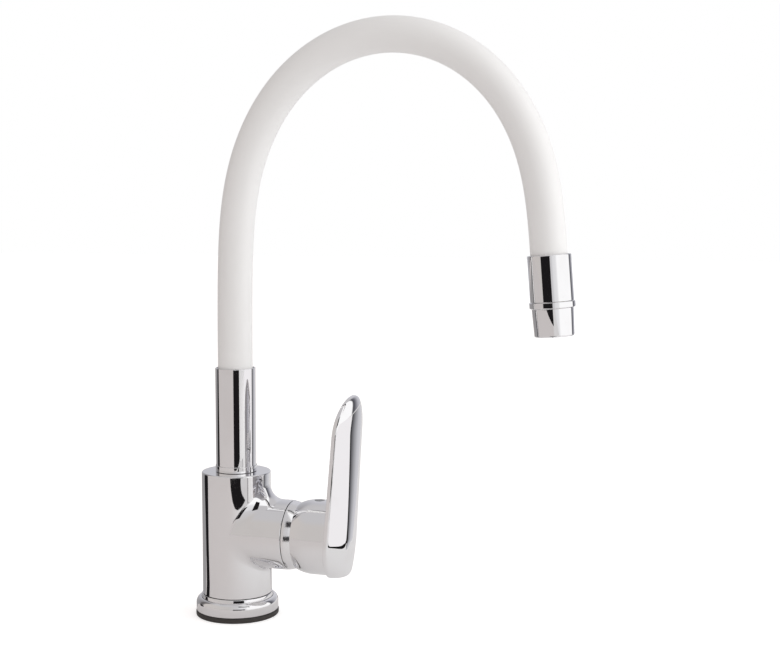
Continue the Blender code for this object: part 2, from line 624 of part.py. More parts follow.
def make_cartridge_seat():
    """Cartridge base, port seals, fixed disc and housing, which stay put."""
    out = (1.0, 0.0, 0.0)
    plate = turned(disc_outline(CARTRIDGE_RADIUS, 0.0, CARTRIDGE_BASE), ROUND_STEPS)
    base = add_piece("cartridge_base", plate, "grey_plastic", frame=branch_frame(BASE_START))
    fixed = add_piece("fixed_disc", turned(disc_outline(DISC_RADIUS, 0.0, DISC_HEIGHT), SMALL_STEPS),
                      "ceramic", frame=branch_frame(FIXED_DISC_START))
    seat = SEAL_HEIGHT + CLEARANCE
    far = CARTRIDGE_BASE + OVERRUN
    outline = [(0.0, -OVERRUN), (SEAL_RADIUS + CLEARANCE, -OVERRUN), (SEAL_RADIUS + CLEARANCE, seat),
               (WATERWAY_RADIUS, seat), (WATERWAY_RADIUS, far), (0.0, far)]
    for name, y, z in port_places():
        place = axis_frame((BASE_START, y, z), out)
        boolean(base, as_cutter(name + "_base_cut", turned(outline, TINY_STEPS), place))
        hole = axis_frame((FIXED_DISC_START - OVERRUN, y, z), out)
        cut = cylinder_cutter(name + "_disc_cut", WATERWAY_RADIUS, DISC_HEIGHT + 2 * OVERRUN, hole)
        boolean(fixed, cut)
        seal = ring_outline(SEAL_RADIUS - SEAL_WALL, SEAL_RADIUS, 0.0, SEAL_HEIGHT)
        add_piece(name + "_port_seal", turned(seal, TINY_STEPS), "black_rubber",
                  frame=axis_frame((BASE_START, y, z), out))
    inner = CARTRIDGE_RADIUS - CARTRIDGE_WALL
    hole = ROTOR_NECK_RADIUS + CLEARANCE
    start = FIXED_DISC_START
    plate = HOUSING_PLATE_START - start
    end = HOUSING_END - start
    outline = [(inner, 0.0), (CARTRIDGE_RADIUS, 0.0), (CARTRIDGE_RADIUS, end),
               (hole, end), (hole, plate), (inner, plate)]
    add_piece("cartridge_housing", turned(outline, ROUND_STEPS), "grey_plastic", frame=branch_frame(start))


def make_retaining_nut():
    thread = NUT_BORE_RADIUS - CLEARANCE
    flange = NUT_FLANGE_START - NUT_START
    end = flange + NUT_FLANGE_HEIGHT
    outline = [(NUT_HOLE_RADIUS, 0.0), (thread, 0.0), (thread, flange),
               (NUT_FLANGE_RADIUS, flange), (NUT_FLANGE_RADIUS, end), (NUT_HOLE_RADIUS, end)]
    nut = add_piece("retaining_nut", turned(outline, ROUND_STEPS), "raw_brass", frame=branch_frame(NUT_START))
    far = NUT_FLANGE_RADIUS + OVERRUN
    half = NUT_NOTCH / 2
    low = NUT_FLANGE_START + CLEARANCE
    high = NUT_START + end + OVERRUN
    inner = NUT_FLANGE_RADIUS - NUT_NOTCH
    z = BRANCH_HEIGHT
    boolean(nut, box_cutter("notch_top_cut", (low, -half, z + inner), (high, half, z + far)))
    boolean(nut, box_cutter("notch_bottom_cut", (low, -half, z - far), (high, half, z - inner)))
    boolean(nut, box_cutter("notch_left_cut", (low, inner, z - half), (high, far, z + half)))
    boolean(nut, box_cutter("notch_right_cut", (low, -far, z - half), (high, -inner, z + half)))


def ball_arc(radius, start_deg, end_deg, steps):
    """Arc about the pivot as (radius, height from the pivot), 90 is the rim."""
    angles = np.radians(np.linspace(start_deg, end_deg, steps + 1))
    return [(radius * math.sin(a), radius * math.cos(a)) for a in angles]


def make_trim_dome():
    """Chrome dome over the nut: a short rim, then part of a ball."""
    rim_start = NUT_FLANGE_START - PIVOT_X
    rim_end = rim_start + DOME_STRAIGHT
    start = math.degrees(math.acos(rim_end / DOME_RADIUS))
    inner_radius = DOME_RADIUS - DOME_WALL
    rim = DOME_RADIUS * math.sin(math.radians(start))
    outer = ball_arc(DOME_RADIUS, start, DOME_OPENING_DEG, DOME_STEPS)
    inner_start = math.degrees(math.acos(rim_end / inner_radius))
    inner = ball_arc(inner_radius, DOME_OPENING_DEG, inner_start, DOME_STEPS)
    outline = [(rim, rim_start)] + outer + inner + [(inner[-1][0], rim_start)]
    add_piece("trim_dome", turned(outline, ROUND_STEPS), "chrome", frame=branch_frame(PIVOT_X))


def make_rotor(carrier):
    """Drum that turns with the lever and carries the lift pin."""
    plate = DISC_RADIUS - CLEARANCE
    neck = ROTOR_NECK_END - ROTOR_START
    outline = [(0.0, 0.0), (plate, 0.0), (plate, ROTOR_PLATE), (ROTOR_NECK_RADIUS, ROTOR_PLATE),
               (ROTOR_NECK_RADIUS, neck), (0.0, neck)]
    rotor = add_piece("cartridge_rotor", turned(outline, SMALL_STEPS), "white_plastic",
                      carrier, branch_frame(ROTOR_START))
    half = ROTOR_SLOT_WIDTH / 2
    reach = ROTOR_SLOT_LENGTH / 2
    low = (ROTOR_START - OVERRUN, -half, BRANCH_HEIGHT - reach)
    high = (ROTOR_NECK_END + OVERRUN, half, BRANCH_HEIGHT + reach)
    boolean(rotor, box_cutter("rotor_slot_cut", low, high))
    across = (0.0, 1.0, 0.0)
    start = (PIVOT_X, -ROTOR_NECK_RADIUS - OVERRUN, BRANCH_HEIGHT)
    cut = cylinder_cutter("rotor_pin_cut", PIN_RADIUS + CLEARANCE, 2 * (ROTOR_NECK_RADIUS + OVERRUN),
                          axis_frame(start, across))
    boolean(rotor, cut)
    pin = turned(disc_outline(PIN_RADIUS, -PIN_LENGTH / 2, PIN_LENGTH / 2), TINY_STEPS)
    add_piece("lift_pin", pin, "spring_steel", carrier, axis_frame(PIVOT, across))


def make_moving_disc(carrier):
    """Ceramic disc and its plastic carrier, which the stem slides."""
    z = BRANCH_HEIGHT - MOVING_DISC_OFFSET
    frame = axis_frame((MOVING_DISC_START, 0.0, z), (1.0, 0.0, 0.0))
    disc = add_piece("moving_disc", turned(disc_outline(MOVING_DISC_RADIUS, 0.0, DISC_HEIGHT), SMALL_STEPS),
                     "ceramic", carrier, frame)
    pocket = axis_frame((MOVING_DISC_START - OVERRUN, 0.0, z), (1.0, 0.0, 0.0))
    boolean(disc, cylinder_cutter("disc_pocket_cut", DISC_POCKET_RADIUS, DISC_POCKET_DEPTH + OVERRUN, pocket))
    frame = axis_frame((CARRIER_START, 0.0, z), (1.0, 0.0, 0.0))
    holder = add_piece("disc_carrier",
                       turned(disc_outline(MOVING_DISC_RADIUS, 0.0, CARRIER_HEIGHT), SMALL_STEPS),
                       "white_plastic", carrier, frame)
    half = CARRIER_POCKET / 2
    low = (PIVOT_X - STEM_ARM - half, -half, BRANCH_HEIGHT - half)
    high = (ROTOR_START, half, BRANCH_HEIGHT + half)
    boolean(holder, box_cutter("carrier_pocket_cut", low, high))


def square_tube(bm, side, start, end):
    """A square bar along X, centred on the branch's axis."""
    half = side / 2
    size = Vector((end - start, side, side))
    middle = Vector(((start + end) / 2, 0.0, BRANCH_HEIGHT))
    bmesh.ops.create_cube(bm, size=1.0, matrix=Matrix.Translation(middle) @ Matrix.Diagonal((*size, 1.0)))
    return half


def make_stem(carrier):
    """Square shank, round arm and ball, drilled for the lift pin."""
    bm = bmesh.new()
    square_tube(bm, STEM_SIDE, STEM_BLOCK_START, STEM_END)
    stem = add_piece("cartridge_stem", bm, "raw_brass", carrier)
    ball = ball_arc(STEM_BALL_RADIUS, 180.0, math.degrees(math.asin(STEM_ARM_RADIUS / STEM_BALL_RADIUS)), 6)
    arm_end = STEM_BLOCK_START + OVERRUN - (PIVOT_X - STEM_ARM)
    outline = ball + [(STEM_ARM_RADIUS, arm_end), (0.0, arm_end)]
    arm = as_cutter("stem_arm_join", turned(outline, TINY_STEPS), branch_frame(PIVOT_X - STEM_ARM))
    boolean(stem, arm, "UNION")
    start = PIVOT - Vector((0.0, STEM_SIDE / 2 + OVERRUN, 0.0))
    cut = cylinder_cutter("stem_pin_cut", PIN_RADIUS + CLEARANCE, STEM_SIDE + 2 * OVERRUN,
                          axis_frame(start, (0.0, 1.0, 0.0)))
    boolean(stem, cut)


def blade_outline():
    """The blade's outline as (y, z) points: foot, left side, tip, right side."""
    points = []
    for step in range(BLADE_ARC_STEPS):
        a = math.pi * step / BLADE_ARC_STEPS
        points.append((BLADE_HALF_WIDTH * math.cos(a), BRANCH_HEIGHT - BLADE_FOOT * math.sin(a)))
    side = BLADE_STRAIGHT_TOP - BRANCH_HEIGHT
    rises = [BRANCH_HEIGHT + side * step / BLADE_SIDE_STEPS for step in range(BLADE_SIDE_STEPS)]
    points += [(-BLADE_HALF_WIDTH, z) for z in rises]
    tip = BLADE_TOP - BLADE_STRAIGHT_TOP
    share = 2 / BLADE_TIP_POWER
    for step in range(BLADE_ARC_STEPS):
        a = math.pi * step / BLADE_ARC_STEPS
        across = -math.copysign(abs(math.cos(a)) ** share, math.cos(a))
        points.append((BLADE_HALF_WIDTH * across, BLADE_STRAIGHT_TOP + tip * math.sin(a) ** share))
    points += [(BLADE_HALF_WIDTH, BRANCH_HEIGHT + BLADE_STRAIGHT_TOP - z) for z in rises]
    return points


def tip_rise(z):
    """0 where the blade's tip starts and 1 at its very top."""
    return min(max((z - BLADE_STRAIGHT_TOP) / BLADE_TIP, 0.0), 1.0)


def blade_edge_x(z):
    lean = (z - BRANCH_HEIGHT) * math.tan(math.radians(BLADE_EDGE_LEAN_DEG))
    return BLADE_EDGE_X + lean + BLADE_TIP_FORWARD * tip_rise(z) ** 2


def blade_bulge(y, z):
    """How far the blade's face stands out past its side edges."""
    if z < BRANCH_HEIGHT:
        drop = min((BRANCH_HEIGHT - z) / BLADE_FOOT, 1.0)
        width = BLADE_HALF_WIDTH * math.sqrt(1 - drop ** 2)
        crown = BLADE_CROWN * math.sqrt(1 - drop ** BLADE_FOOT_POWER)
    else:
        height = (z - BRANCH_HEIGHT) / (BLADE_TOP - BRANCH_HEIGHT)
        rise = tip_rise(z)
        width = BLADE_HALF_WIDTH * (1 - rise ** BLADE_TIP_POWER) ** (1 / BLADE_TIP_POWER)
        crown = BLADE_CROWN + (BLADE_CROWN_TOP - BLADE_CROWN) * height
        crown *= math.sqrt(1 - rise ** BLADE_TIP_FALL_POWER)
    across = min(abs(y) / width, 1.0) if width > MERGE else 1.0
    return crown * (1 - across ** 2)


def blade_face(y, z, side="front"):
    """X of the blade's front or back face."""
    if side == "front":
        return blade_edge_x(z) + blade_bulge(y, z)
    shrink = 1 - (BLADE_THICKNESS - BLADE_EDGE_THICKNESS) / BLADE_CROWN
    return blade_edge_x(z) - BLADE_EDGE_THICKNESS + shrink * blade_bulge(y, z)


def blade_rows():
    """Rings from the blade's spine out to its edge, and back in behind it."""
    outline = blade_outline()
    spine = [(0.0, min(max(z, BRANCH_HEIGHT), BLADE_STRAIGHT_TOP)) for y, z in outline]

    def ring(share, side):
        places = [(y0 + share * (y1 - y0), z0 + share * (z1 - z0))
                  for (y0, z0), (y1, z1) in zip(spine, outline)]
        rounding = 0.0 if share < 1 else BLADE_EDGE_ROUND * (1 if side == "back" else -1)
        return [(blade_face(y, z, side) + rounding, y, z) for y, z in places]

    front = [ring(share, "front") for share in BLADE_RING_SHARES]
    back = [ring(share, "back") for share in BLADE_RING_SHARES[::-1]]
    return front + back


def hub_rows():
    """The hub as rings about the branch's axis.

    They run from a face that lies inside the blade back along the outer wall,
    into the hollow for the dome, down the boss and into its square socket.
    """
    turns = [math.tau * i / ROUND_STEPS for i in range(ROUND_STEPS)]

    def places(radius):
        return [(radius * math.cos(a), BRANCH_HEIGHT + radius * math.sin(a)) for a in turns]

    def flat_ring(radius, x):
        return [(x, y, z) for y, z in places(radius)]

    def square_ring(half, x):
        reach = [half / max(abs(math.cos(a)), abs(math.sin(a))) for a in turns]
        return [(x, r * math.cos(a), BRANCH_HEIGHT + r * math.sin(a)) for r, a in zip(reach, turns)]

    rows = []
    for share in BLADE_RING_SHARES[:-1]:
        rows.append([(blade_face(y, z) - HUB_INSET, y, z) for y, z in places(share * HUB_RADIUS)])
    rows.append([(blade_face(y, z, "back") + HUB_OVERLAP, y, z) for y, z in places(HUB_RADIUS)])
    for step in range(HUB_STEPS, -1, -1):
        share = step / HUB_STEPS
        loss = (HUB_RADIUS - HUB_START_RADIUS) * (1 - share) ** HUB_SWELL_POWER
        rows.append(flat_ring(HUB_RADIUS - loss, HUB_START + share * HUB_SWELL))
    start = math.degrees(math.acos((HUB_START - PIVOT_X) / HUB_HOLLOW_RADIUS))
    end = math.degrees(math.asin(CORE_RADIUS / HUB_HOLLOW_RADIUS))
    for radius, reach in ball_arc(HUB_HOLLOW_RADIUS, start, end, HUB_HOLLOW_STEPS):
        rows.append(flat_ring(radius, PIVOT_X + reach))
    rows.append(flat_ring(CORE_RADIUS, CORE_END))
    rows.append(flat_ring(BOSS_RADIUS, CORE_END))
    rows.append(flat_ring(BOSS_RADIUS, HUB_START))
    half = STEM_SIDE / 2 + CLEARANCE
    rows.append(square_ring(half, HUB_START))
    rows.append(square_ring(half, SOCKET_END))
    rows.append(flat_ring(0.0, SOCKET_END))
    return rows


def make_lever(carrier):
    """Blade and hub in one piece, with a square socket for the stem."""
    bm = bmesh.new()
    grid_faces(bm, blade_rows(), closed=True)
    lever = add_piece("lever_handle", bm, "chrome", carrier)
    bm = bmesh.new()
    grid_faces(bm, hub_rows(), closed=True)
    boolean(lever, as_cutter("hub_join", bm, Matrix.Identity(4)), "UNION")

    z = BRANCH_HEIGHT
    down = (0.0, 0.0, -1.0)
    top = z + HUB_RADIUS
    depth = HUB_RADIUS - CORE_RADIUS + 2 * OVERRUN
    cut = cylinder_cutter("index_cut", INDEX_RADIUS + CLEARANCE, depth,
                          axis_frame((INDEX_X, 0.0, top + OVERRUN), down))
    boolean(lever, cut)
    depth = BOSS_RADIUS - STEM_SIDE / 2 + OVERRUN
    cut = cylinder_cutter("grub_cut", GRUB_RADIUS + CLEARANCE, depth,
                          axis_frame((INDEX_X, 0.0, z + BOSS_RADIUS + OVERRUN), down))
    boolean(lever, cut)

    outline = [(0.0, -INDEX_HEIGHT), (INDEX_RADIUS, -INDEX_HEIGHT), (INDEX_RADIUS, -CLEARANCE),
               (INDEX_RADIUS - CLEARANCE, 0.0), (0.0, CLEARANCE)]
    add_piece("index_button", turned(outline, TINY_STEPS), "grey_plastic", carrier,
              Matrix.Translation((INDEX_X, 0.0, top)))
    tip = STEM_SIDE / 2 + CLEARANCE
    frame = axis_frame((INDEX_X, 0.0, z + tip + GRUB_LENGTH), down)
    make_screw("lever_grub_screw", GRUB_RADIUS, GRUB_LENGTH, frame, "spring_steel", carrier)


def o_ring_section(centre):
    sides = arc_points(centre, (O_RING_SECTION, O_RING_SECTION), 0.0, 360.0, O_RING_SIDES)
    return sides[:-1]


def make_swivel(carrier):
    """Brass adapter that turns in the body, its seals and the glide ring."""
    top = BODY_TOP + CLEARANCE
    groove = ADAPTER_RADIUS - ADAPTER_GROOVE
    lock = ADAPTER_RADIUS - LOCK_GROOVE_DEPTH
    floor = NECK_FOOT + ADAPTER_FLANGE_HEIGHT + ADAPTER_SOCKET_FLOOR
    flange = SLEEVED_RADIUS - CLEARANCE
    bottom = SOCKET_FLOOR + CLEARANCE
    outline = [(ADAPTER_BORE, bottom), (ADAPTER_RADIUS, bottom)]
    for start, width, radius in ((LOWER_GROOVE, ADAPTER_GROOVE_WIDTH, groove),
                                 (LOCK_GROOVE, LOCK_GROOVE_WIDTH, lock),
                                 (UPPER_GROOVE, ADAPTER_GROOVE_WIDTH, groove)):
        outline += [(ADAPTER_RADIUS, start), (radius, start), (radius, start + width),
                    (ADAPTER_RADIUS, start + width)]
    flange_top = NECK_FOOT + ADAPTER_FLANGE_HEIGHT
    outline += [(ADAPTER_RADIUS, NECK_FOOT), (flange, NECK_FOOT), (flange, flange_top),
                (STUB_RADIUS, flange_top)]
    outline += adapter_socket(STUB_TOP, floor, 1.0)
    add_piece("spout_adapter", turned(outline, SMALL_STEPS), "raw_brass", carrier)
    for name, start in (("lower", LOWER_GROOVE), ("upper", UPPER_GROOVE)):
        middle = (groove + CLEARANCE / 2 + O_RING_SECTION, start + ADAPTER_GROOVE_WIDTH / 2)
        section = o_ring_section(middle)
        add_piece(name + "_o_ring", turned(section, SMALL_STEPS), "black_rubber", carrier)
    glide = ring_outline(ADAPTER_RADIUS + CLEARANCE, GLIDE_RADIUS, top, top + GLIDE_HEIGHT)
    add_piece("glide_ring", turned(glide, SMALL_STEPS), "white_plastic", carrier)


def adapter_socket(end, floor, way):
    """End of an adapter: a socket for the gooseneck round a hose nipple."""
    socket = GOOSENECK_RADIUS + FACET_CLEARANCE
    nipple_end = end + way * NIPPLE_STANDS_OUT
    return [(STUB_RADIUS, end), (socket, end), (socket, floor), (NIPPLE_RADIUS, floor),
            (NIPPLE_RADIUS, nipple_end), (ADAPTER_BORE, nipple_end)]


def make_neck(carrier):
    collar = NECK_RADIUS + NECK_COLLAR_WIDTH
    collar_top = NECK_FOOT + NECK_COLLAR_HEIGHT
    edge = (NECK_RADIUS - SLEEVED_RADIUS) / 3
    outline = [(SLEEVED_RADIUS, NECK_FOOT), (collar, NECK_FOOT), (collar, collar_top - NECK_COLLAR_WIDTH),
               (NECK_RADIUS, collar_top), (NECK_RADIUS, NECK_TOP - edge), (NECK_RADIUS - edge, NECK_TOP),
               (SLEEVED_RADIUS, NECK_TOP)]
    add_piece("neck_sleeve", turned(outline, ROUND_STEPS), "chrome", carrier)


class Arch:
    """The arch's centreline in the XZ plane, from the neck to the ferrule."""

    def __init__(self):
        pivots = np.linspace(0.0, ARCH_LENGTH, LINKS + 1)
        self.s = np.linspace(0.0, ARCH_LENGTH, CURVE_SAMPLES)
        bend = np.interp(self.s, pivots, CURL_SHARES)
        turned_by = np.concatenate([[0.0], np.cumsum((bend[1:] + bend[:-1]) / 2)])
        self.angle = turned_by / turned_by[-1] * math.radians(ARCH_TURN_DEG)
        step = ARCH_LENGTH / (CURVE_SAMPLES - 1)
        middle = (self.angle[1:] + self.angle[:-1]) / 2
        self.x = np.concatenate([[0.0], np.cumsum(np.sin(middle))]) * step
        self.z = NECK_TOP + np.concatenate([[0.0], np.cumsum(np.cos(middle))]) * step
        rows = np.degrees(self.angle) / ROW_TURN_DEG + self.s / ROW_LENGTH
        self.marks = np.interp(np.arange(0.0, rows[-1]), rows, self.s)

    def frame(self, s):
        """Place, tangent and outward normal at a distance along the curve.

        Before its start and past its end the curve runs on straight.
        """
        inside = min(max(s, 0.0), ARCH_LENGTH)
        angle = float(np.interp(inside, self.s, self.angle))
        tangent = Vector((math.sin(angle), 0.0, math.cos(angle)))
        normal = Vector((math.cos(angle), 0.0, -math.sin(angle)))
        x = float(np.interp(inside, self.s, self.x))
        z = float(np.interp(inside, self.s, self.z))
        return Vector((x, 0.0, z)) + tangent * float(s - inside), tangent, normal

    def stations(self, start, end):
        """Both ends and the marks between them, which all layers share."""
        low, high = start + ROW_MARGIN, end - ROW_MARGIN
        return [start] + [float(s) for s in self.marks if low < s < high] + [end]

    def ring(self, s, radius, sides, offset=0.0):
        """A ring of points square to the curve, moved along its tangent."""
        place, tangent, normal = self.frame(s)
        turns = [math.tau * side / sides for side in range(sides)]
        return [place + tangent * offset + normal * (radius * math.cos(a))
                + Vector((0.0, radius * math.sin(a), 0.0)) for a in turns]

    def cup_ring(self, end, radius, sides):
        """The ring where a wall of this radius meets the cup about a pivot."""
        pivot = self.frame(end)[0]
        near = [end - CUP_REACH * CUP_RADIUS] * sides
        far = [end] * sides
        for _ in range(30):
            middle = [(a + b) / 2 for a, b in zip(near, far)]
            for side, s in enumerate(middle):
                outside = (self.ring(s, radius, sides)[side] - pivot).length > CUP_RADIUS
                near[side], far[side] = (s, far[side]) if outside else (near[side], s)
        return [self.ring(s, radius, sides)[side] for side, s in enumerate(near)]


def sphere_radii(ball, inner, outer, rows):
    """Radii of rows spaced evenly over a ball, from the inner to the outer."""
    low, high = math.asin(inner / ball), math.asin(min(outer / ball, 1.0))
    return [ball * math.sin(low + (high - low) * row / rows) for row in range(rows + 1)]


def make_link(arch, carrier, layer, number, start, end):
    """One layer of one link: a bent tube between a ball end and a cup end."""
    name, finish, outer, wall, sides = layer
    inner = outer - wall
    cup = number < LINKS - 1
    last = end - CUP_REACH * CUP_RADIUS if cup else end
    stations = arch.stations(start, last)
    outside = [arch.ring(s, outer, sides) for s in stations]
    inside = [arch.ring(s, inner, sides) for s in stations]
    if cup:
        rows = CUP_ROWS if outer == HOSE_RADIUS else 1
        radii = sphere_radii(CUP_RADIUS, inner, outer, rows)
        outside += [arch.cup_ring(end, radius, sides) for radius in radii[::-1]]
    if number:
        rows = BALL_ROWS if outer == HOSE_RADIUS else 1
        radii = sphere_radii(HOSE_RADIUS, inner, outer, rows)
        offsets = [-math.sqrt(max(HOSE_RADIUS ** 2 - radius ** 2, 0.0)) for radius in radii]
        ball = [arch.ring(start, radius, sides, offset) for radius, offset in zip(radii, offsets)]
        outside = ball + outside
    bm = bmesh.new()
    rows = outside + inside[::-1]
    grid_faces(bm, rows + [rows[0]], closed=True)
    add_piece(f"{name}_{number + 1}", bm, finish, carrier)


def make_arch(arch, carriers):
    """Every link of the sleeve, the gooseneck and the water hose."""
    socket = NECK_FOOT + ADAPTER_FLANGE_HEIGHT + ADAPTER_SOCKET_FLOOR + CLEARANCE - NECK_TOP
    head_socket = ARCH_LENGTH + head_socket_floor() - CLEARANCE
    sleeve_start = STUB_TOP + CLEARANCE - NECK_TOP
    sleeve = ("hose_sleeve", "white_silicone", HOSE_RADIUS, HOSE_WALL, SLEEVE_SIDES)
    gooseneck = ("gooseneck", "spring_steel", GOOSENECK_RADIUS, GOOSENECK_WALL, LINER_SIDES)
    hose = ("water_hose", "clear_hose", WATER_HOSE_RADIUS, WATER_HOSE_WALL, LINER_SIDES)
    spans = ((sleeve, sleeve_start, ARCH_LENGTH + SLEEVE_ENTRY),
             (gooseneck, socket, head_socket), (hose, socket, head_socket))
    for number, carrier in enumerate(carriers):
        for layer, first, last in spans:
            start = number * LINK_LENGTH if number else first
            end = (number + 1) * LINK_LENGTH if number < LINKS - 1 else last
            make_link(arch, carrier, layer, number, start, end)


def head_socket_floor():
    return SLEEVE_ENTRY + CLEARANCE + ADAPTER_STUB - ADAPTER_SOCKET_FLOOR


def make_head(carrier, frame):
    """Ferrule and adapter that close the arch's far end."""
    edge = FERRULE_EDGE
    outline = [(SLEEVED_RADIUS, 0.0), (FERRULE_RADIUS - edge, 0.0), (FERRULE_RADIUS, edge),
               (FERRULE_RADIUS, FERRULE_LENGTH - edge), (FERRULE_RADIUS - edge, FERRULE_LENGTH),
               (SLEEVED_RADIUS, FERRULE_LENGTH)]
    add_piece("head_ferrule", turned(outline, ROUND_STEPS), "chrome", carrier, frame)
    stub = SLEEVE_ENTRY + CLEARANCE
    flange_start = stub + ADAPTER_STUB
    flange = SLEEVED_RADIUS - CLEARANCE
    spigot_end = FERRULE_LENGTH + HEAD_SPIGOT_LENGTH
    groove = HEAD_SPIGOT_RADIUS - ADAPTER_GROOVE
    groove_start = NOZZLE_START + 2 * CLEARANCE
    groove_end = groove_start + ADAPTER_GROOVE_WIDTH
    outline = adapter_socket(stub, head_socket_floor(), -1.0)[::-1]
    outline += [(STUB_RADIUS, flange_start), (flange, flange_start), (flange, FERRULE_LENGTH),
                (HEAD_SPIGOT_RADIUS, FERRULE_LENGTH), (HEAD_SPIGOT_RADIUS, groove_start),
                (groove, groove_start), (groove, groove_end), (HEAD_SPIGOT_RADIUS, groove_end),
                (HEAD_SPIGOT_RADIUS, spigot_end), (ADAPTER_BORE, spigot_end)]
    add_piece("head_adapter", turned(outline, SMALL_STEPS), "raw_brass", carrier, frame)
    middle = (groove + CLEARANCE / 2 + O_RING_SECTION, (groove_start + groove_end) / 2)
    section = o_ring_section(middle)
    add_piece("nozzle_o_ring", turned(section, SMALL_STEPS), "black_rubber", carrier, frame)


def make_nozzle(carrier, frame):
    """Selector ring, nozzle shell and the aerator inside it."""
    bore = HEAD_SPIGOT_RADIUS + CLEARANCE
    edge = SELECTOR_EDGE
    start, end = SELECTOR_START, SELECTOR_START + SELECTOR_LENGTH
    outline = [(bore, start), (SELECTOR_RADIUS - edge, start), (SELECTOR_RADIUS, start + edge),
               (SELECTOR_RADIUS, end - edge), (SELECTOR_RADIUS - edge, end), (bore, end)]
    add_piece("selector_ring", turned(outline, ROUND_STEPS), "chrome", carrier, frame)

    shelf = NOZZLE_START + HEAD_SPIGOT_LENGTH / 2 + 2 * CLEARANCE
    cavity = NOZZLE_END_RADIUS - NOZZLE_WALL
    outline = [(HEAD_SPIGOT_RADIUS + CLEARANCE, NOZZLE_START), (NOZZLE_RADIUS, NOZZLE_START),
               (NOZZLE_END_RADIUS, NOZZLE_END - NOZZLE_EDGE),
               (NOZZLE_END_RADIUS - NOZZLE_EDGE, NOZZLE_END), (cavity, NOZZLE_END),
               (cavity, shelf), (HEAD_SPIGOT_RADIUS + CLEARANCE, shelf)]
    add_piece("nozzle_shell", turned(outline, ROUND_STEPS), "chrome", carrier, frame)

    fit = cavity - CLEARANCE
    plate = FERRULE_LENGTH + HEAD_SPIGOT_LENGTH + CLEARANCE
    diverter = add_piece("diverter_disc",
                         turned(disc_outline(fit, plate, plate + DIVERTER_HEIGHT), SMALL_STEPS),
                         "grey_plastic", carrier, frame)
    holes = hole_ring(frame, plate - OVERRUN, fit / 2, DIVERTER_HOLES)
    for number, place in enumerate(holes):
        boolean(diverter, cylinder_cutter(f"diverter_cut_{number}", DIVERTER_HOLE,
                                          DIVERTER_HEIGHT + 2 * OVERRUN, place, HEX_STEPS))

    low = plate + DIVERTER_HEIGHT + CLEARANCE
    high = NOZZLE_END - AERATOR_RECESS
    bowl = fit - AERATOR_WALL
    mouth = fit / 2
    outline = [(mouth, low), (fit, low), (fit, high), (bowl, high), (bowl, low + AERATOR_FLOOR),
               (mouth, low + AERATOR_FLOOR)]
    add_piece("aerator_body", turned(outline, SMALL_STEPS), "white_plastic", carrier, frame)
    seat = low + AERATOR_FLOOR + CLEARANCE
    inner = bowl - CLEARANCE
    screen = turned(disc_outline(inner, seat, seat + SCREEN_HEIGHT), SMALL_STEPS)
    add_piece("aerator_screen", screen, "spring_steel", carrier, frame)
    seat = high - STRAIGHTENER_HEIGHT
    grid = add_piece("flow_straightener",
                     turned(disc_outline(inner, seat, high), SMALL_STEPS), "white_plastic", carrier, frame)
    places = [frame @ Matrix.Translation((0.0, 0.0, seat - OVERRUN))]
    pitch = inner * STRAIGHTENER_PITCH_SHARE
    hole = inner * STRAIGHTENER_HOLE_SHARE
    places += hole_ring(frame, seat - OVERRUN, pitch, STRAIGHTENER_HOLES)
    for number, place in enumerate(places):
        boolean(grid, cylinder_cutter(f"straightener_cut_{number}", hole,
                                      STRAIGHTENER_HEIGHT + 2 * OVERRUN, place, HEX_STEPS))


def hole_ring(frame, height, radius, count):
    """Frames of holes spaced evenly on a circle about a frame's Z axis."""
    made = []
    for number in range(count):
        a = math.tau * number / count
        made.append(frame @ Matrix.Translation((radius * math.cos(a), radius * math.sin(a), height)))
    return made


def main():
    clear_scene()
    make_gasket()
    make_base_ring()
    make_mixer_body()
    make_lock_screw()
    make_cartridge_seat()
    make_retaining_nut()
    make_trim_dome()

    turn = joint_empty("handle_turn_pivot", (PIVOT_X, 0.0, BRANCH_HEIGHT))
    lift = joint_empty("handle_lift_pivot", (PIVOT_X, 0.0, BRANCH_HEIGHT))
    slide = joint_empty("disc_slide_pivot", (MOVING_DISC_START, 0.0, BRANCH_HEIGHT))
    make_rotor(turn)
    make_moving_disc(slide)
    make_stem(lift)
    make_lever(lift)

    arch = Arch()
    spout = joint_empty("spout_swivel_pivot", (0.0, 0.0, BODY_TOP))
    make_swivel(spout)
    make_neck(spout)
    carriers = [spout]
    for link in range(1, LINKS):
        place = arch.frame(link * LINK_LENGTH)[0]
        carriers.append(joint_empty(f"arch_pivot_{link}", place))
    make_arch(arch, carriers)

    place, tangent, normal = arch.frame(ARCH_LENGTH)
    frame = axis_frame(place, tangent)
    make_head(carriers[-1], frame)
    nozzle = joint_empty("nozzle_twist_pivot", place)
    make_nozzle(nozzle, frame)


main()
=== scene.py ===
# %% [markdown]
# # A kitchen tap with a bendable hose arch
#
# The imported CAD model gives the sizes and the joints. This lesson puts the
# finished surfaces on it: polished chrome, a silicone hose and the rubber,
# brass and ceramic inside. Everything is in metres, with the tap's upright
# body on the Z axis and its lever towards +X.

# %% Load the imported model
import json
import math

import bmesh
import bpy
import numpy as np
from mathutils import Matrix, Vector

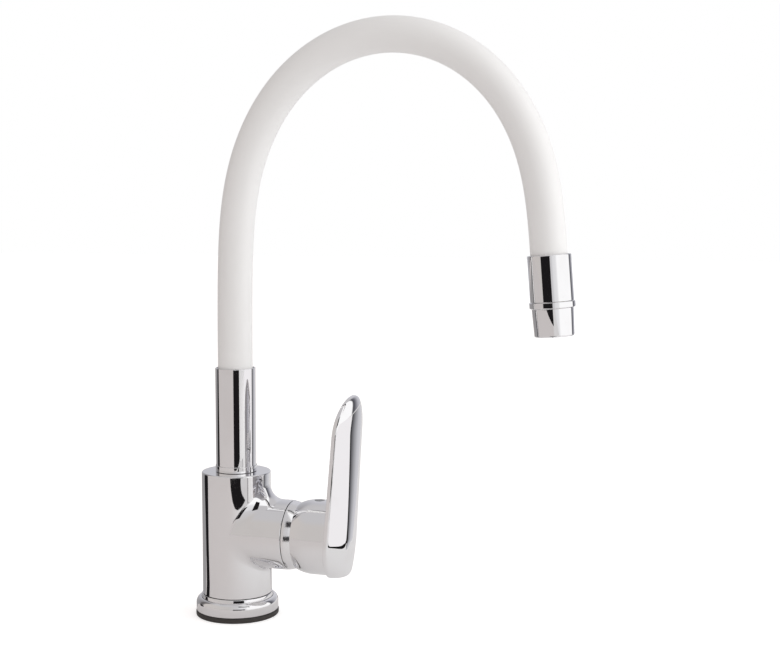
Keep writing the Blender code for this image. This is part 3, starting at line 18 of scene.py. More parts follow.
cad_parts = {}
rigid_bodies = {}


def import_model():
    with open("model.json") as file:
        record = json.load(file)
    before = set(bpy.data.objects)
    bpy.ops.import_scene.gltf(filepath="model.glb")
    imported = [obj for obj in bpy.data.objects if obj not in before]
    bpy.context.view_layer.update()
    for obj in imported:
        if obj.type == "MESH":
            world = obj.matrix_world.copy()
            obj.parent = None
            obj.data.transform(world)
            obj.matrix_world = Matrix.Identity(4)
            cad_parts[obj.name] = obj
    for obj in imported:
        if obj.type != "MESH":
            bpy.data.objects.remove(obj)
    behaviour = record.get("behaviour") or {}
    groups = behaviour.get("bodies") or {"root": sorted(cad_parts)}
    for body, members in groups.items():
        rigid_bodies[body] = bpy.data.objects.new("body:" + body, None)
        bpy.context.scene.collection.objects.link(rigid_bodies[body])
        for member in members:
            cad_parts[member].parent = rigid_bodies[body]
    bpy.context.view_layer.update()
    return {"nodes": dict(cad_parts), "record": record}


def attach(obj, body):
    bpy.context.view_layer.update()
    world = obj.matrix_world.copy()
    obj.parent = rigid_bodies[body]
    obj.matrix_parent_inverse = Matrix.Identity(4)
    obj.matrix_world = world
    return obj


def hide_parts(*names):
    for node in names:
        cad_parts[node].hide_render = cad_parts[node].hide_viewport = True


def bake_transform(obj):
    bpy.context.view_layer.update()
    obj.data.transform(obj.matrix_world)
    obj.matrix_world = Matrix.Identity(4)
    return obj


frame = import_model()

MM = 0.001

# %% [markdown]
# ## From numbers to a mesh
#
# A turned part could be made with a Spin or a Screw modifier. Here its points
# are worked out as one numpy array, because the same array can be bent, cut
# in spans or shifted before it becomes a mesh. A grid has rows, which are
# rings, and columns, which run from ring to ring.

# %% Outlines with rounded corners
HOLD = 0.12 * MM      # a row this close to an arc keeps the flat beside it flat
WELD = 1e-7           # points closer than this become one


def unit(vectors):
    """Each vector divided by its own length."""
    vectors = np.asarray(vectors, float)
    return vectors / np.linalg.norm(vectors, axis=-1, keepdims=True)


def rounded(corners, radii, steps=6):
    """A closed outline whose corners are arcs.

    An arc touches both sides at radius / tan(half the corner's angle). Its
    points are the two touching radii mixed by the sines of the angle that is
    left and the angle that is done, which keeps them on the circle.
    """
    corners = np.asarray(corners, float)
    radii = np.asarray(radii, float)[:, None]
    back = unit(np.roll(corners, 1, axis=0) - corners)
    ahead = unit(np.roll(corners, -1, axis=0) - corners)
    half = np.arccos(np.clip((back * ahead).sum(1), -1.0, 1.0))[:, None] / 2
    turn = np.pi - 2 * half
    reach = radii / np.tan(half)
    centre = corners + unit(back + ahead) * radii / np.sin(half)
    share = np.linspace(0.0, 1.0, steps + 1)
    done = (np.sin(share * turn) / np.sin(turn))[..., None]
    left = (np.sin((1 - share) * turn) / np.sin(turn))[..., None]
    start = corners + back * reach - centre
    end = corners + ahead * reach - centre
    arcs = centre[:, None] + left * start[:, None] + done * end[:, None]
    hold = reach + HOLD * (radii > 0)
    before = (corners + back * hold)[:, None]
    after = (corners + ahead * hold)[:, None]
    return np.concatenate([before, arcs, after], axis=1).reshape(-1, 2)


square = rounded([(0, 0), (1, 0), (1, 1), (0, 1)], [0.1] * 4)
print("a rounded square has", len(square), "points")

# %% Rings of points about an axis
COLUMNS = 128
SMALL_COLUMNS = 48            # for screws and drilled holes
UP = (0.0, 0.0, 1.0)
OUT = (1.0, 0.0, 0.0)
ACROSS = (0.0, 1.0, 0.0)


def all_round(count):
    """Angles once round, in equal steps."""
    return np.arange(count) / count * math.tau


def quarter(count):
    """Angles from 0 to 90 degrees, both ends included."""
    return np.linspace(0.0, math.pi / 2, count)


def lathe(outline, place=(0.0, 0.0, 0.0), axis=UP, columns=COLUMNS):
    """Turn an outline of (radius, height) points about an axis.

    A point is place + height * axis + radius * (cosine * side + sine * other
    side), where the two sides are square to the axis and to each other.
    """
    axis = unit(axis)
    side = unit(np.cross(ACROSS, axis))
    other = np.cross(axis, side)
    turn = all_round(columns)
    circle = np.cos(turn)[:, None] * side + np.sin(turn)[:, None] * other
    radius, height = np.asarray(outline, float).T[..., None, None]
    return np.asarray(place) + height * axis + radius * circle


print("a ring of three rows:", lathe([(1, 0), (1, 1), (1, 2)], columns=8).shape)

# %% [markdown]
# A grid becomes faces by joining each point to its neighbours in the next row
# and the next column. Where all points of a ring meet on the axis, or where
# two grids share an edge, welding closes the surface. After that Blender can
# turn all faces outwards by itself.

# %% Grids to a closed mesh
SHARP_DEG = 32.0              # edges above this angle are shaded sharp


def quads(rows, columns, loop_rows, loop_columns, first):
    """Corner numbers of a grid's faces: here, next column, both, next row."""
    row = np.arange(rows if loop_rows else rows - 1)
    column = np.arange(columns if loop_columns else columns - 1)
    row, column = np.meshgrid(row, column, indexing="ij")
    next_row, next_column = (row + 1) % rows, (column + 1) % columns
    corners = [row * columns + column, row * columns + next_column,
               next_row * columns + next_column, next_row * columns + column]
    return np.stack(corners, axis=-1).reshape(-1, 4) + first


def solid(name, sheets, sharp_deg=SHARP_DEG):
    """A closed mesh from grids, each with flags for looped rows and columns."""
    points, faces, count = [], [], 0
    for grid, loop_rows, loop_columns in sheets:
        rows, columns = grid.shape[:2]
        points.append(grid.reshape(-1, 3))
        faces.append(quads(rows, columns, loop_rows, loop_columns, count))
        count += rows * columns
    mesh = bpy.data.meshes.new(name)
    mesh.from_pydata(np.concatenate(points).tolist(), [], np.concatenate(faces).tolist())
    return tidy(mesh, sharp_deg)


def tidy(mesh, sharp_deg):
    """Weld meeting points, drop stray edges, turn faces outwards, shade."""
    bm = bmesh.new()
    bm.from_mesh(mesh)
    bmesh.ops.remove_doubles(bm, verts=bm.verts, dist=WELD)
    stray = [edge for edge in bm.edges if not edge.link_faces]
    bmesh.ops.delete(bm, geom=stray, context="EDGES")
    bmesh.ops.recalc_face_normals(bm, faces=bm.faces)
    bm.to_mesh(mesh)
    bm.free()
    mesh.shade_smooth()
    mesh.set_sharp_from_angle(angle=math.radians(sharp_deg))
    return mesh


def turned(name, outline, place=(0.0, 0.0, 0.0), axis=UP, columns=COLUMNS):
    """A closed turned mesh from a closed outline."""
    return solid(name, [(lathe(outline, place, axis, columns), True, True)])


# %% [markdown]
# ## Finishes
#
# Each finish is a Principled BSDF fed by small procedural effects. An effect
# that several finishes share is a node group: film and smudges on polished
# metal, fine grain in moulded stuff, and tool marks on turned metal. The
# groups read Object coordinates, so that a pattern stays on its piece.

# %% A helper that wires nodes


def wire(tree, kind, inputs, **settings):
    """Add a node; an input is a value, or another node's output."""
    node = tree.nodes.new(kind)
    for name, value in settings.items():
        setattr(node, name, value)
    for key, value in inputs.items():
        if isinstance(value, bpy.types.NodeSocket):
            tree.links.new(value, node.inputs[key])
        else:
            node.inputs[key].default_value = value
    return node


def place_of(tree, kind="Object"):
    """Coordinates of the point that is shaded."""
    return wire(tree, "ShaderNodeTexCoord", {}).outputs[kind]


def maths(tree, operation, first, second, **settings):
    """One number made from two."""
    return wire(tree, "ShaderNodeMath", {0: first, 1: second}, operation=operation,
                **settings).outputs["Value"]


def spread(tree, value, start=(0.0, 1.0), end=(0.0, 1.0), kind="LINEAR"):
    """A number moved from one range to another, where it stops at both ends."""
    limits = dict(zip(("From Min", "From Max", "To Min", "To Max"), (*start, *end)))
    return wire(tree, "ShaderNodeMapRange", {"Value": value, **limits},
                interpolation_type=kind).outputs["Result"]


def noise(tree, place, scale, detail, **more):
    """Soft noise from 0 to 1."""
    return wire(tree, "ShaderNodeTexNoise",
                {"Vector": place, "Scale": scale, "Detail": detail, **more}).outputs["Fac"]


def mixed(tree, share, first, second):
    """A colour between two; each is (red, green, blue) or another node's output."""
    pair = [value if isinstance(value, bpy.types.NodeSocket) else (*value, 1.0)
            for value in (first, second)]
    return wire(tree, "ShaderNodeMix", {0: share, 6: pair[0], 7: pair[1]},
                data_type="RGBA").outputs[2]


def new_group(name, inputs, outputs):
    """An empty shader group; inputs are names with values, outputs are names."""
    group = bpy.data.node_groups.new(name, "ShaderNodeTree")
    for label, value in inputs.items():
        socket = group.interface.new_socket(name=label, in_out="INPUT", socket_type="NodeSocketFloat")
        socket.default_value = value
    for label in outputs:
        group.interface.new_socket(name=label, in_out="OUTPUT", socket_type="NodeSocketFloat")
    return group, group.nodes.new("NodeGroupInput").outputs, group.nodes.new("NodeGroupOutput")


def give(group, made, **values):
    """Send values out of a group by the names of its outputs."""
    for name, value in values.items():
        group.links.new(value, made.inputs[name])


# %% [markdown]
# Polished metal never has quite the same gloss all over. A thin film from
# wiping and from dried water dulls it in soft patches, with small round spots
# where drops have dried. The group gives that as a mask, a roughness and a
# height.

# %% Film on polished metal


def make_film_group():
    """Soft patches of film, rings where drops have dried, and a fine height."""
    group, given, made = new_group(
        "polish_film",
        {"Patch Scale": 40.0, "Polish": 0.03, "Film Roughness": 0.05, "Spot Scale": 260.0},
        ["Roughness", "Film", "Height"])
    place = place_of(group)
    patches = noise(group, place, given["Patch Scale"], 4.0, Roughness=0.55, Distortion=0.4)
    soft = spread(group, patches, (0.46, 0.78), kind="SMOOTHSTEP")
    spots = wire(group, "ShaderNodeTexVoronoi",
                 {"Vector": place, "Scale": given["Spot Scale"], "Randomness": 1.0})
    ring = spread(group, spots.outputs["Distance"], (0.12, 0.07))
    sparse = maths(group, "MULTIPLY", ring, soft)
    film = maths(group, "ADD", soft, sparse, use_clamp=True)
    rough = spread(group, film, end=(given["Polish"], given["Film Roughness"]))
    fine = maths(group, "MULTIPLY", noise(group, place, 900.0, 2.0), 0.2)
    height = maths(group, "ADD", sparse, fine)
    give(group, made, Roughness=rough, Film=film, Height=height)
    return group


def make_grain_group():
    """Fine grain of a moulded skin, with slow changes of tone under it."""
    group, given, made = new_group(
        "moulded_grain", {"Grain Scale": 900.0, "Tone Scale": 25.0}, ["Height", "Tone"])
    place = place_of(group)
    grain = noise(group, place, given["Grain Scale"], 5.0, Roughness=0.6)
    tone = noise(group, place, given["Tone Scale"], 3.0)
    give(group, made, Height=grain, Tone=tone)
    return group


def make_tool_group():
    """Turning marks: narrow bands along Z, broken up by noise."""
    group, given, made = new_group(
        "tool_marks", {"Mark Scale": 1400.0, "Stain Scale": 120.0}, ["Height", "Stain"])
    place = place_of(group)
    marks = wire(group, "ShaderNodeTexWave",
                 {"Vector": place, "Scale": given["Mark Scale"], "Distortion": 1.5,
                  "Detail": 2.0}, bands_direction="Z")
    stain = noise(group, place, given["Stain Scale"], 5.0)
    give(group, made, Height=marks.outputs["Fac"], Stain=stain)
    return group


FILM = make_film_group()
GRAIN = make_grain_group()
TOOL_MARKS = make_tool_group()
print("effects:", [group.name for group in bpy.data.node_groups])

# %% [markdown]
# A material keeps its own Principled BSDF. Numbers that are the same all over
# are set on the shader's sockets, and only what changes over the surface is
# wired in from a group.

# %% Finishes built from the groups
NOISE_RANGE = (0.3, 0.7)      # nearly all of a noise lies in it


def new_finish(name, metallic=0.0):
    """A material, its node tree and its Principled BSDF."""
    made = bpy.data.materials.new(name)
    made.use_nodes = True
    shader = made.node_tree.nodes["Principled BSDF"]
    shader.inputs["Metallic"].default_value = metallic
    return made, made.node_tree, shader


def mix_colours(tree, shader, share, first, second):
    """Base Color goes from the first colour to the second with the share."""
    tree.links.new(mixed(tree, share, first, second), shader.inputs["Base Color"])


def bump(tree, shader, height, strength, depth):
    """Height becomes a normal: depth is its full size in metres."""
    node = wire(tree, "ShaderNodeBump", {"Height": height, "Strength": strength, "Distance": depth})
    tree.links.new(node.outputs["Normal"], shader.inputs["Normal"])


def roughen(tree, shader, value, low, high):
    """A noise becomes a roughness between low and high."""
    tree.links.new(spread(tree, value, NOISE_RANGE, (low, high)), shader.inputs["Roughness"])


def chrome_finish(name, polish, film_roughness):
    """Chrome plate: a cool mirror, dulled a little where a film lies on it."""
    made, tree, shader = new_finish(name, 1.0)
    film = wire(tree, "ShaderNodeGroup",
                {"Patch Scale": 38.0, "Polish": polish, "Film Roughness": film_roughness,
                 "Spot Scale": 240.0}, node_tree=FILM)
    mix_colours(tree, shader, film.outputs["Film"], (0.875, 0.87, 0.88), (0.845, 0.835, 0.84))
    tree.links.new(film.outputs["Roughness"], shader.inputs["Roughness"])
    bump(tree, shader, film.outputs["Height"], 0.02, 0.00002)
    return made


def moulded_finish(name, colour, shade, roughness, grain_depth, grain_scale=900.0):
    """Rubber, plastic, silicone or ceramic: a tone, a gloss and a grain."""
    made, tree, shader = new_finish(name)
    grain = wire(tree, "ShaderNodeGroup", {"Grain Scale": grain_scale}, node_tree=GRAIN)
    mix_colours(tree, shader, grain.outputs["Tone"], colour, shade)
    roughen(tree, shader, grain.outputs["Tone"], *roughness)
    bump(tree, shader, grain.outputs["Height"], 0.25, grain_depth)
    return made


def machined_finish(name, colour, stain, roughness):
    """Bare metal with turning marks and light stains."""
    made, tree, shader = new_finish(name, 1.0)
    marks = wire(tree, "ShaderNodeGroup", {}, node_tree=TOOL_MARKS)
    mix_colours(tree, shader, marks.outputs["Stain"], colour, stain)
    roughen(tree, shader, marks.outputs["Stain"], *roughness)
    bump(tree, shader, marks.outputs["Height"], 0.15, 0.00003)
    return made


FINISHES = [
    ("chrome", chrome_finish, 0.018, 0.05),
    ("white_silicone", moulded_finish, (0.90, 0.892, 0.885), (0.875, 0.867, 0.86), (0.46, 0.56),
     0.00003, 1600.0),
    ("black_rubber", moulded_finish, (0.030, 0.026, 0.024), (0.045, 0.038, 0.034), (0.50, 0.70),
     0.00006),
    ("raw_brass", machined_finish, (0.74, 0.57, 0.30), (0.60, 0.43, 0.21), (0.22, 0.40)),
    ("spring_steel", machined_finish, (0.60, 0.60, 0.61), (0.46, 0.45, 0.44), (0.25, 0.42)),
    ("white_plastic", moulded_finish, (0.86, 0.86, 0.84), (0.82, 0.81, 0.78), (0.32, 0.45), 0.00002),
    ("grey_plastic", moulded_finish, (0.34, 0.35, 0.37), (0.29, 0.30, 0.31), (0.35, 0.50), 0.00002),
    ("ceramic", moulded_finish, (0.88, 0.86, 0.82), (0.84, 0.81, 0.76), (0.10, 0.20), 0.00001),
    ("clear_hose", moulded_finish, (0.78, 0.82, 0.84), (0.72, 0.77, 0.80), (0.25, 0.35), 0.00002),
]
FINISH = {name: make(name, *numbers) for name, make, *numbers in FINISHES}
SATIN = chrome_finish("satin_chrome", 0.14, 0.2)
print("finishes:", sorted(FINISH))

# %% Put a mesh in the scene as a piece of the tap


def placed(name, data):
    """A new object in the scene."""
    made = bpy.data.objects.new(name, data)
    bpy.context.scene.collection.objects.link(made)
    return made


def add_piece(mesh, finish, body, stands_for):
    """Make the object, give it its finish, and let it ride and replace."""
    piece = placed(mesh.name, mesh)
    mesh.materials.append(FINISH[finish])
    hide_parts(*stands_for)
    if body:
        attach(piece, body)
    return piece


def carve(mesh, cutter, operation="DIFFERENCE"):
    """The mesh with another one cut out of it, or joined to it."""
    pair = [placed(m.name, m) for m in (mesh, cutter)]
    step = pair[0].modifiers.new("carve", "BOOLEAN")
    step.operation, step.solver, step.object = operation, "EXACT", pair[1]
    depsgraph = bpy.context.evaluated_depsgraph_get()
    made = bpy.data.meshes.new_from_object(pair[0].evaluated_get(depsgraph))
    name = mesh.name
    for obj in pair:
        bpy.data.objects.remove(obj)
    bpy.data.meshes.remove(mesh)
    bpy.data.meshes.remove(cutter)
    made.name = name
    return tidy(made, SHARP_DEG)


# %% [markdown]
# ## The foot
#
# A tap stands on a black seal that keeps water out of the hole in the deck.
# The chrome ring on it has a rounded shoulder, a fine groove, and a low
# slanted lip that the body sits on. Both are turned from a closed outline.

# %% Seal and foot ring
GASKET_RADIUS = 27.7 * MM
GASKET_BORE = 19.0 * MM
GASKET_HEIGHT = 3.2 * MM
RING_RADIUS = 27.4 * MM
RING_BORE = 20.8 * MM
RING_BOTTOM = 3.5 * MM
RING_TOP = 12.4 * MM
LIP_RADIUS = 23.6 * MM
LIP_SLANT = 0.5 * MM          # the lip is wider by this at its foot
LIP_TOP = 14.6 * MM
GROOVE = np.array([0.22 * MM, 0.6 * MM])      # width and depth at the lip's foot
SHOULDER = np.array([3.1 * MM, 4.2 * MM])     # half axes of the shoulder's arc

seal = rounded([(GASKET_BORE, 0.0), (GASKET_RADIUS, 0.0), (GASKET_RADIUS, GASKET_HEIGHT),
                (GASKET_BORE, GASKET_HEIGHT)], [0.3 * MM, 0.6 * MM, 0.6 * MM, 0.3 * MM])
add_piece(turned("deck_seal", seal), "black_rubber", "base", ["base_gasket"])


def foot_ring_outline():
    """Straight sides, a quarter ellipse for the shoulder, a groove, the lip."""
    angle = quarter(17)
    centre = np.array([RING_RADIUS, RING_TOP]) - SHOULDER
    shoulder = centre + SHOULDER * np.stack([np.cos(angle), np.sin(angle)], axis=1)
    foot = LIP_RADIUS + LIP_SLANT
    corners = np.concatenate([
        [(RING_BORE, RING_BOTTOM), (RING_RADIUS, RING_BOTTOM)], shoulder,
        [(foot + GROOVE[0], RING_TOP), (foot + GROOVE[0], RING_TOP - GROOVE[1]),
         (foot, RING_TOP - GROOVE[1]), (foot, RING_TOP), (LIP_RADIUS, LIP_TOP), (RING_BORE, LIP_TOP)]])
    radii = np.zeros(len(corners))
    radii[1], radii[-2] = 0.4 * MM, 0.3 * MM
    return rounded(corners, radii)


foot_ring = turned("foot_ring", foot_ring_outline())
add_piece(foot_ring, "chrome", "base", ["base_ring"])
print("foot ring:", len(foot_ring.polygons), "faces")

# %% [markdown]
# ## The body
#
# The upright body and the side branch have the same width, and a soft fillet
# joins them. A Boolean union with a bevel could do that, but mirror chrome
# shows every kink. So the body is a sheet of columns, each a path in a plane
# of equal Y: up the wall, round the fillet, out along the branch's lower
# side, and back along its upper side. Behind, a column goes straight up.

# %% The body's sizes
BODY_RADIUS = 23.0 * MM
BODY_FOOT = 14.9 * MM
BODY_TOP = 96.9 * MM
BODY_EDGE = 0.9 * MM
SPIGOT_RADIUS = 20.5 * MM
HOLLOW_RADIUS = 18.0 * MM
HOLLOW_ROOF = 26.0 * MM
BRANCH_HEIGHT = 56.0 * MM
BRANCH_END = 40.0 * MM
UPPER_FILLET = 10.0 * MM
LOWER_FILLET = 3.0 * MM
UPPER_SOFTER = 20.0 * MM     # both fillets are softer towards the body's sides
LOWER_SOFTER = 35.0 * MM
BRANCH_EDGE = 0.35 * MM
CHAMBER_RADIUS = 18.0 * MM
CHAMBER_FLOOR = 6.0 * MM
NUT_SEAT = 33.5 * MM
NUT_BORE = 19.8 * MM
SOCKET_RADIUS = 10.7 * MM
SOCKET_FLOOR = 77.0 * MM
BODY_COLUMNS = 112
WALL_ROWS = 30
FILLET_ROWS = 28
BRANCH_ROWS = 12
EDGE_ROWS = 6

# %% Paths of the body's columns


def round_body(radius, height, angle):
    """Points on a level circle: radius * (sine, cosine), height."""
    radius, height, angle = np.broadcast_arrays(radius, height, angle)
    return np.stack([radius * np.sin(angle), radius * np.cos(angle), height], axis=-1)


def fillet_sheet(angle, side):
    """Rows from the wall, round the fillet, to the branch's end.

    The reach is the sine of the column's angle. It scales the whole fillet,
    so it dies out where the two cylinders are tangent, and on the way there
    its radius grows by (1 - reach) squared towards the softer radius.
    side is -1 below the branch and +1 above it.
    """
    reach = np.abs(np.sin(angle))
    radius, softer = (UPPER_FILLET, UPPER_SOFTER) if side > 0 else (LOWER_FILLET, LOWER_SOFTER)
    radius = radius + (softer - radius) * (1 - reach) ** 2
    y = BODY_RADIUS * np.cos(angle)
    arc = quarter(FILLET_ROWS)[:, None]
    x = reach * (BODY_RADIUS + radius * (1 - np.cos(arc)))
    rise = reach * (BODY_RADIUS + radius * (1 - np.sin(arc)))
    rows = [np.stack(np.broadcast_arrays(x, y, BRANCH_HEIGHT + side * rise), axis=-1)]
    share = np.linspace(0.0, 1.0, BRANCH_ROWS)[1:, None]
    start = reach * (BODY_RADIUS + radius)
    straight = start + share * (BRANCH_END - BRANCH_EDGE - start)
    bend = quarter(EDGE_ROWS)[1:, None]
    edge = BRANCH_END - BRANCH_EDGE * (1 - np.sin(bend)) + 0 * angle
    width = BODY_RADIUS - BRANCH_EDGE * (1 - np.cos(bend))
    for x, r in ((straight, BODY_RADIUS + 0 * straight), (edge, width + 0 * angle)):
        z = BRANCH_HEIGHT + side * r * reach
        rows.append(np.stack([x, r * np.cos(angle) + 0 * x, z], axis=-1))
    return np.concatenate(rows)


def foot_rows(angle):
    """The hollow under the body, the spigot, and the edge of the wall."""
    outline = [(0.0, HOLLOW_ROOF), (HOLLOW_RADIUS, HOLLOW_ROOF), (HOLLOW_RADIUS, RING_BOTTOM),
               (SPIGOT_RADIUS, RING_BOTTOM), (SPIGOT_RADIUS, BODY_FOOT),
               (BODY_RADIUS - HOLD, BODY_FOOT), (BODY_RADIUS, BODY_FOOT + HOLD)]
    return np.stack([round_body(r, z, angle) for r, z in outline])


def head_rows(angle):
    """The rounded rim, the flat top and the socket for the spout."""
    bend = quarter(EDGE_ROWS + 2)
    rim = BODY_RADIUS - BODY_EDGE * (1 - np.cos(bend))
    rise = BODY_TOP - BODY_EDGE * (1 - np.sin(bend))
    flat = [(BODY_RADIUS - BODY_EDGE - HOLD, BODY_TOP), (SOCKET_RADIUS + HOLD, BODY_TOP),
            (SOCKET_RADIUS, BODY_TOP - HOLD), (SOCKET_RADIUS, SOCKET_FLOOR), (0.0, SOCKET_FLOOR)]
    outline = [(BODY_RADIUS, BODY_TOP - BODY_EDGE - HOLD)] + list(zip(rim, rise)) + flat
    return np.stack([round_body(r, z, angle) for r, z in outline])


def body_sheets():
    """Lower front, upper front and back of the body, and the chamber."""
    front = np.linspace(0.0, math.pi, BODY_COLUMNS + 1)
    back = front + math.pi
    share = np.linspace(0.0, 1.0, WALL_ROWS)[:, None]
    low, high = BODY_FOOT + 2 * HOLD, BODY_TOP - BODY_EDGE - 2 * HOLD

    def wall(start, end, angle):
        """Rows of the plain wall from one height to another."""
        return round_body(BODY_RADIUS, start + share * (end - start), angle)

    lower = fillet_sheet(front, -1)
    upper = fillet_sheet(front, 1)[::-1]
    lower = np.concatenate([foot_rows(front), wall(low, lower[0, :, 2], front), lower[1:]])
    upper = np.concatenate([upper[:-1], wall(upper[-1, :, 2], high, front), head_rows(front)])
    middle = np.full(back.shape, BRANCH_HEIGHT)
    behind = np.concatenate([foot_rows(back), wall(low, middle, back),
                             wall(middle, high, back)[1:], head_rows(back)])
    mouth = [(BODY_RADIUS - BRANCH_EDGE, BRANCH_END), (NUT_BORE + HOLD, BRANCH_END),
             (NUT_BORE, BRANCH_END - HOLD), (NUT_BORE, NUT_SEAT), (CHAMBER_RADIUS, NUT_SEAT),
             (CHAMBER_RADIUS, CHAMBER_FLOOR), (0.0, CHAMBER_FLOOR)]
    turn = np.linspace(0.0, math.tau, 2 * BODY_COLUMNS, endpoint=False)
    radius, x = np.array(mouth).T[..., None]
    chamber = np.stack([x + 0 * turn, radius * np.cos(turn),
                        BRANCH_HEIGHT - radius * np.sin(turn)], axis=-1)
    return [(lower, False, False), (upper, False, False), (behind, False, False),
            (chamber, False, True)]


body = solid("polished_body", body_sheets())
print("body:", len(body.polygons), "faces before its holes are cut")

# %% [markdown]
# The waterways are drilled: two inlets rise from the foot and turn into the
# chamber, the outlet runs up to the spout's socket, a stud hole takes the
# fixing bolt, and a small screw hole at the back keeps the spout in.

# %% Drill the body
INLET_RADIUS = 4.7 * MM
INLET_TOP = 38.0 * MM
PORT_RADIUS = 3.2 * MM
PORT_LOW = 48.0 * MM
PORT_HIGH = 65.0 * MM
INLET_X = -3.0 * MM
INLET_Y = 7.5 * MM
STUD_RADIUS = 3.9 * MM
STUD_X = 9.0 * MM
STUD_TOP = 34.0 * MM
SCREW_HEIGHT = 87.8 * MM
SCREW_HOLE = 2.0 * MM
PAST = 2.0 * MM               # how far a drill runs past what it cuts


def drill(mesh, outline, place, axis):
    """Cut a turned hole, whose corners lie half a step off the middle."""
    cutter = turned("drill", outline, place, axis, SMALL_COLUMNS)
    half = Matrix.Rotation(math.pi / SMALL_COLUMNS, 4, Vector(axis))
    centre = Matrix.Translation(Vector(place))
    cutter.transform(centre @ half @ centre.inverted())
    return carve(mesh, cutter)


def rod(radius, length):
    """Outline of a plain cylinder from its place along its axis."""
    return [(0.0, 0.0), (radius, 0.0), (radius, length), (0.0, length)]


for y in (INLET_Y, -INLET_Y):
    stepped = [(0.0, 0.0), (INLET_RADIUS, 0.0), (INLET_RADIUS, PAST + INLET_TOP - HOLLOW_ROOF),
               (PORT_RADIUS, PAST + INLET_TOP - HOLLOW_ROOF),
               (PORT_RADIUS, PAST + PORT_LOW + PORT_RADIUS / 2 - HOLLOW_ROOF),
               (0.0, PAST + PORT_LOW + PORT_RADIUS / 2 - HOLLOW_ROOF)]
    body = drill(body, stepped, (INLET_X, y, HOLLOW_ROOF - PAST), UP)
    body = drill(body, rod(PORT_RADIUS, CHAMBER_FLOOR - INLET_X + PAST), (INLET_X, y, PORT_LOW), OUT)
body = drill(body, rod(PORT_RADIUS, CHAMBER_FLOOR + PAST), (0.0, 0.0, PORT_HIGH), OUT)
body = drill(body, rod(PORT_RADIUS, SOCKET_FLOOR + PAST - PORT_HIGH + PORT_RADIUS / 2),
             (0.0, 0.0, PORT_HIGH - PORT_RADIUS / 2), UP)
body = drill(body, rod(STUD_RADIUS, STUD_TOP - HOLLOW_ROOF + PAST), (STUD_X, 0.0, HOLLOW_ROOF - PAST), UP)
body = drill(body, rod(SCREW_HOLE, BODY_RADIUS - SOCKET_RADIUS + 2 * PAST),
             (-BODY_RADIUS - PAST, 0.0, SCREW_HEIGHT), OUT)
add_piece(body, "chrome", "base", ["mixer_body"])
print("body:", len(body.polygons), "faces with its holes")

# %% [markdown]
# The screw is a plain grub screw with a hexagonal recess. Its recess is part
# of the same grid: rings that are hexagons instead of circles.

# %% Lock screw behind the body
SCREW_RADIUS = 1.7 * MM
SCREW_START = -22.7 * MM
SCREW_END = -9.3 * MM
KEY_RADIUS = 1.1 * MM
KEY_DEPTH = 1.6 * MM


def grub_screw(name, radius, length, place, axis):
    """Rings from the bottom of the key's hexagon out and round to the tip.

    A hexagon's ring is the circle times cos(30) / cos(angle from the middle
    of its side).
    """
    chamfer, tip = radius / 4, radius / 2
    outline = [(0.0, KEY_DEPTH), (KEY_RADIUS, KEY_DEPTH), (KEY_RADIUS, 0.0),
               (radius - chamfer, 0.0), (radius, chamfer), (radius, length - tip), (tip, length),
               (0.0, length)]
    rings = lathe(outline, place, axis, SMALL_COLUMNS)
    turn = all_round(SMALL_COLUMNS)
    side = (turn + math.pi / 6) % (math.pi / 3) - math.pi / 6
    middle = rings[1:3].mean(axis=1, keepdims=True)
    rings[1:3] = middle + (rings[1:3] - middle) * (math.cos(math.pi / 6) / np.cos(side))[:, None]
    return solid(name, [(rings, False, True)])


screw = grub_screw("lock_screw", SCREW_RADIUS, SCREW_END - SCREW_START,
                   (SCREW_START, 0.0, SCREW_HEIGHT), OUT)
add_piece(screw, "spring_steel", "base", ["spout_lock_screw"])
print("lock screw:", len(screw.polygons), "faces")

# %% [markdown]
# ## Dome and lever
#
# Under the lever a thin chrome dome covers the cartridge. It is part of a
# ball about the pin that the lever lifts about, so the gap to the lever's
# hollow stays even while the lever moves.

# %% Trim dome
PIVOT_X = 36.0 * MM
DOME_RADIUS = 23.3 * MM
DOME_WALL = 1.0 * MM
DOME_START = 40.3 * MM
DOME_STRAIGHT = 1.4 * MM
DOME_OPENING = math.radians(46.0)


def dome_outline(steps=28):
    """A short straight rim, the outer ball, and the inner ball back again."""
    rim = DOME_START - PIVOT_X
    level = rim + DOME_STRAIGHT
    inner = DOME_RADIUS - DOME_WALL
    outside = np.linspace(math.acos(level / DOME_RADIUS), DOME_OPENING, steps)
    inside = np.linspace(DOME_OPENING, math.acos(level / inner), steps)
    arcs = [DOME_RADIUS * np.stack([np.sin(outside), np.cos(outside)], axis=1),
            inner * np.stack([np.sin(inside), np.cos(inside)], axis=1)]
    start = [(arcs[0][0, 0], rim + HOLD), (arcs[0][0, 0], level - HOLD)]
    end = [(arcs[1][-1, 0], rim), (arcs[0][0, 0] - HOLD, rim)]
    return np.concatenate([start, *arcs, end])


dome = turned("dome_cover", dome_outline(), (PIVOT_X, 0.0, BRANCH_HEIGHT), OUT)
add_piece(dome, "chrome", "base", ["trim_dome"])
dome.materials[0] = SATIN
print("dome:", len(dome.polygons), "faces")

# %% [markdown]
# The lever's blade is a curved tongue. Rings run from its spine out to its
# outline, over the rounded edge, and back to the spine behind. The hub is a
# second set of rings, from inside the blade back over the dome and down the
# square socket. The two are joined by a Boolean, as a casting is one body.

